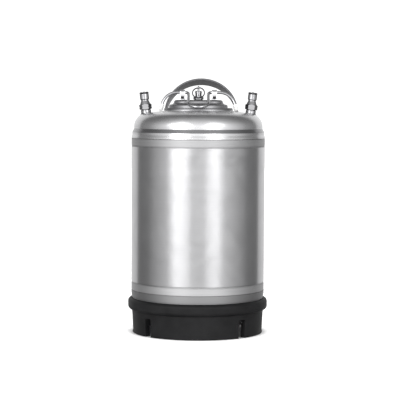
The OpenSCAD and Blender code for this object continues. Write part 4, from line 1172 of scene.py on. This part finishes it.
relief_top = relief_body_z + relief_body_h
relief_cap_top = relief_top + relief_cap_h
eye_z = relief_cap_top + eye_rise
disc_z = -0.55
disc_r = 3.4
disc_t = 1.2
stem_play = 0.07
spigot_play = 0.1
relief_coil_r = 2.75
relief_wire_r = 0.35
relief_coil_foot = 0.7
relief_coil_head = 10.95
relief_coil_turns = 5
on_plateau = Matrix.Translation((0, 0, plateau_z * MM))

gasket = spun("relief_gasket_washer", [
    (relief_shank_r + gasket_play, 0), (gasket_r - gasket_edge, 0), (gasket_r, gasket_edge),
    (gasket_r, gasket_t - gasket_edge), (gasket_r - gasket_edge, gasket_t),
    (relief_shank_r + gasket_play, gasket_t), (relief_shank_r + gasket_play, 0)], SMALL_ROUND)
settle(gasket, on_plateau)
dress(gasket, ring_rubber, "seal_rubber", "lid", "relief_gasket")

body = spun("relief_body_turned", [
    (0, relief_low), (relief_shank_r - relief_thread_end, relief_low),
    *thread(relief_shank_r, relief_low + relief_thread_end, -thread_clear, relief_thread_pitch,
            relief_thread_depth),
    (relief_shank_r - relief_nut_in, gasket_t + relief_nut_overlap),
    (relief_shank_r - relief_nut_in, relief_body_z - relief_nut_overlap),
    (relief_r, relief_body_z - relief_nut_overlap),
    (relief_r, relief_body_z + relief_groove_low - relief_groove_edge),
    (relief_r - relief_groove, relief_body_z + relief_groove_low),
    (relief_r - relief_groove, relief_top - relief_groove_high),
    (relief_r, relief_top - relief_groove_high + relief_groove_edge),
    (relief_r, relief_top - relief_chamfer), (relief_r - relief_chamfer, relief_top),
    (0, relief_top)], SMALL_ROUND)
nut = rod("relief_hexagon", relief_hex_r, relief_hex_h, gasket_t + relief_hex_h / 2, (0, 0, 30), 6)
cut(nut, spun("relief_chamfers", [
    (0, gasket_t - cut_over), (relief_hex_r + cut_over, gasket_t - cut_over),
    (relief_hex_r + cut_over, relief_body_z - relief_hex_cut), (relief_flat_r - relief_cut_in, relief_body_z),
    (relief_flat_r - relief_cut_end, relief_body_z + cut_over), (0, relief_body_z + cut_over)],
    SMALL_ROUND), "INTERSECT")
cut(body, nut, "UNION")
cut(body, spun("relief_bores", [
    (0, relief_low - cut_over), (relief_port_r, relief_low - cut_over), (relief_port_r, relief_seat),
    (relief_bore_r, relief_seat), (relief_bore_r, relief_top + cut_over), (0, relief_top + cut_over)],
    SMALL_ROUND))
for cross in (0, 90):
    cut(body, rod("vent_drill", vent_r, 3 * relief_r, relief_body_z + vent_rise + vent_r, (90, 0, cross), 24))
settle(body, on_plateau)
dress(body, bar_steel, "bright_steel", "lid", "relief_valve_body", smooth=25)

cap = spun("relief_cap_turned", [
    (stem_r + stem_play, relief_top - relief_spigot),
    (relief_bore_r - spigot_play, relief_top - relief_spigot), (relief_bore_r - spigot_play, relief_top),
    *[(relief_r - inset, relief_top + rise) for inset, rise in cap_rounding],
    (stem_r + stem_play, relief_cap_top), (stem_r + stem_play, relief_top - relief_spigot)], SMALL_ROUND)
settle(cap, on_plateau)
dress(cap, bar_steel, "bright_steel", "lid", "relief_valve_cap", smooth=25)

stem = spun("relief_stem_turned", [
    (0, disc_z), (disc_r, disc_z), (disc_r, disc_z + disc_t), (stem_r, disc_z + disc_t), (stem_r, eye_z),
    (0, eye_z)], SMALL_ROUND)
eye = rod("stem_eye", eye_r, eye_t, eye_z, (0, 90, 0), 48)
modify(eye, "BEVEL", width=eye_edge_r * MM, segments=3, limit_method="ANGLE", angle_limit=math.radians(40))
cut(stem, eye, "UNION")
cut(stem, rod("ring_drill", ring_hole_r, 4 * eye_t, eye_z, (0, 90, 0), 32))
settle(stem, on_plateau)
dress(stem, bar_steel, "bright_steel", "relief_stem", "relief_valve_stem")

relief_coil = wire("relief_coil", coil(
    relief_coil_r, relief_coil_foot + relief_wire_r, relief_coil_head - relief_wire_r, relief_coil_turns),
    relief_wire_r, 2)
settle(relief_coil, on_plateau)
dress(relief_coil, coil_steel, "spring_steel", "lid", "relief_valve_spring", smooth=60)
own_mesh(relief_coil)

ring_turn = [i / 64 for i in range(129)]
ring_path = [(ring_r * math.sin(math.tau * t), ring_pitch * (t - 1) * min(1.0, 2 * abs(t - 1)),
              ring_r * math.cos(math.tau * t) - ring_r) for t in ring_turn]
ring = wire("relief_split_ring", ring_path, ring_wire_r, 4)
settle(ring, Matrix.Translation((0, 0, (plateau_z + eye_z) * MM)) @ Matrix.Rotation(-ring_lean, 4, "X"))
dress(ring, coil_steel, "bright_steel", "pull_ring", "relief_pull_ring", smooth=60)

# Studio: a white floor with its own light straight above it, a pale room that darkens towards its sides
# and is bright again low down behind the keg, and two soft boxes in front.
floor_w = 12.0
floor_light_power = 3.6
floor_light_spread = math.radians(30)
room_strength = 1.2
bpy.ops.object.select_all(action="DESELECT")
bpy.ops.mesh.primitive_plane_add(size=floor_w)
floor = bpy.context.object
floor.name = "studio_floor"
floor.visible_glossy = False
floor_paint, _ = start_material("pale_floor", {"Base Color": linear("#f4f4f4"), "Roughness": 0.9})
floor.data.materials.append(floor_paint)
floor_group = bpy.data.collections.new("lit_floor")
floor_group.objects.link(floor)
floor_lamp = bpy.data.objects.new("floor_light", bpy.data.lights.new("floor_light", "SUN"))
floor_lamp.data.energy = floor_light_power
floor_lamp.data.angle = floor_light_spread
floor_lamp.location = (0, 0, 2.0)
floor_lamp.light_linking.receiver_collection = floor_group
bpy.context.scene.collection.objects.link(floor_lamp)

world = bpy.data.worlds.new("studio_room")
bpy.context.scene.world = world
world.use_nodes = True
room = world.node_tree.nodes["Background"]
way = add_node(world, "ShaderNodeTexCoord").outputs["Generated"]
parts = add_node(world, "ShaderNodeSeparateXYZ", {"Vector": way}).outputs


def levels(socket, stops):
    """A grey ramp over one part of the direction, from -1 to 1."""
    share = add_node(world, "ShaderNodeMapRange", {
        "Value": socket, "From Min": -1.0, "From Max": 1.0}).outputs[0]
    ramp = add_node(world, "ShaderNodeValToRGB", {"Fac": share})
    while len(ramp.color_ramp.elements) < len(stops):
        ramp.color_ramp.elements.new(0.5)
    for element, (position, level) in zip(ramp.color_ramp.elements, stops):
        element.position = (position + 1) / 2
        element.color = (level, level, level, 1.0)
    return ramp.outputs["Color"]


def wall(around, rise):
    """One wall of the room: its grey levels from front to back, times its levels from low to high."""
    return add_node(world, "ShaderNodeMix", {
        0: 1.0, MIX_A: levels(parts["Y"], around), MIX_B: levels(parts["Z"], rise)},
        data_type="RGBA", blend_type="MULTIPLY").outputs[MIX_OUT]


front_wall = wall([(-1.0, 1.6), (-0.87, 1.55), (-0.64, 1.35), (-0.34, 0.92), (0.1, 0.38), (0.45, 0.28),
                   (1.0, 0.15)],
                  [(-1.0, 0.2), (-0.3, 0.2), (-0.1, 0.85), (0.02, 1.0), (0.37, 0.8), (0.64, 0.58),
                   (0.87, 0.55), (0.94, 0.5), (1.0, 0.42)])
back_wall = wall([(-1.0, 0.0), (0.59, 0.0), (0.64, 0.42), (0.8, 0.55), (1.0, 0.65)],
                 [(-1.0, 0.3), (-0.4, 0.5), (-0.15, 0.85), (0.0, 0.95), (0.12, 1.1), (0.25, 1.15),
                  (0.45, 1.05), (0.65, 0.75), (0.8, 0.4), (1.0, 0.3)])
walls = add_node(world, "ShaderNodeMix", {
    0: 1.0, MIX_A: front_wall, MIX_B: back_wall}, data_type="RGBA", blend_type="ADD").outputs[MIX_OUT]
seen = add_node(world, "ShaderNodeLightPath").outputs["Is Camera Ray"]
backdrop = add_node(world, "ShaderNodeMix", {
    0: seen, MIX_A: walls, MIX_B: (1.0, 1.0, 1.0, 1.0)}, data_type="RGBA").outputs[MIX_OUT]
world.node_tree.links.new(backdrop, room.inputs["Color"])
room.inputs["Strength"].default_value = room_strength


def soft_light(name, azimuth, height, distance, width, tall, power):
    """A soft box that faces the keg's middle. Azimuth 0 is straight in front."""
    lamp = bpy.data.lights.new(name, "AREA")
    lamp.shape = "RECTANGLE"
    lamp.size = width
    lamp.size_y = tall
    lamp.energy = power
    box = bpy.data.objects.new(name, lamp)
    bpy.context.scene.collection.objects.link(box)
    turn = math.radians(azimuth)
    box.location = (distance * math.sin(turn), -distance * math.cos(turn), height)
    target = Vector((0, 0, 0.2))
    box.rotation_euler = (target - box.location).to_track_quat("-Z", "Z").to_euler()


soft_light("left_soft_box", azimuth=-32.5, height=0.95, distance=2.2, width=1.35, tall=1.3, power=16)
soft_light("right_soft_box", azimuth=29, height=0.95, distance=2.2, width=1.05, tall=1.3, power=10)

# Camera: where the photo was taken from, in front of the keg and about level with its rim, with the photo's
# own scale, horizon and slight roll.
photo_size = 416
photo_scale = 1.622
camera_distance = 2.62
camera_height = 0.383
keg_axis_px = 197.9
horizon_px = 96.2
camera_roll = math.radians(0.3)
lens_data = bpy.data.cameras.new("photo_camera")
camera = bpy.data.objects.new("photo_camera", lens_data)
bpy.context.scene.collection.objects.link(camera)
lens_data.sensor_width = 36.0
lens_data.lens = lens_data.sensor_width * camera_distance / (photo_size * photo_scale * MM)
pitch = math.atan((photo_size / 2 - horizon_px) * photo_scale * MM / camera_distance)
yaw = -math.atan((photo_size / 2 - keg_axis_px) * photo_scale * MM / camera_distance)
camera.location = (0, -camera_distance, camera_height)
aim = Matrix.Rotation(yaw, 4, "Z") @ Matrix.Rotation(math.radians(90) - pitch, 4, "X")
camera.rotation_euler = (aim @ Matrix.Rotation(camera_roll, 4, "Z")).to_euler()
bpy.context.scene.camera = camera
bpy.context.scene.view_settings.view_transform = "Standard"
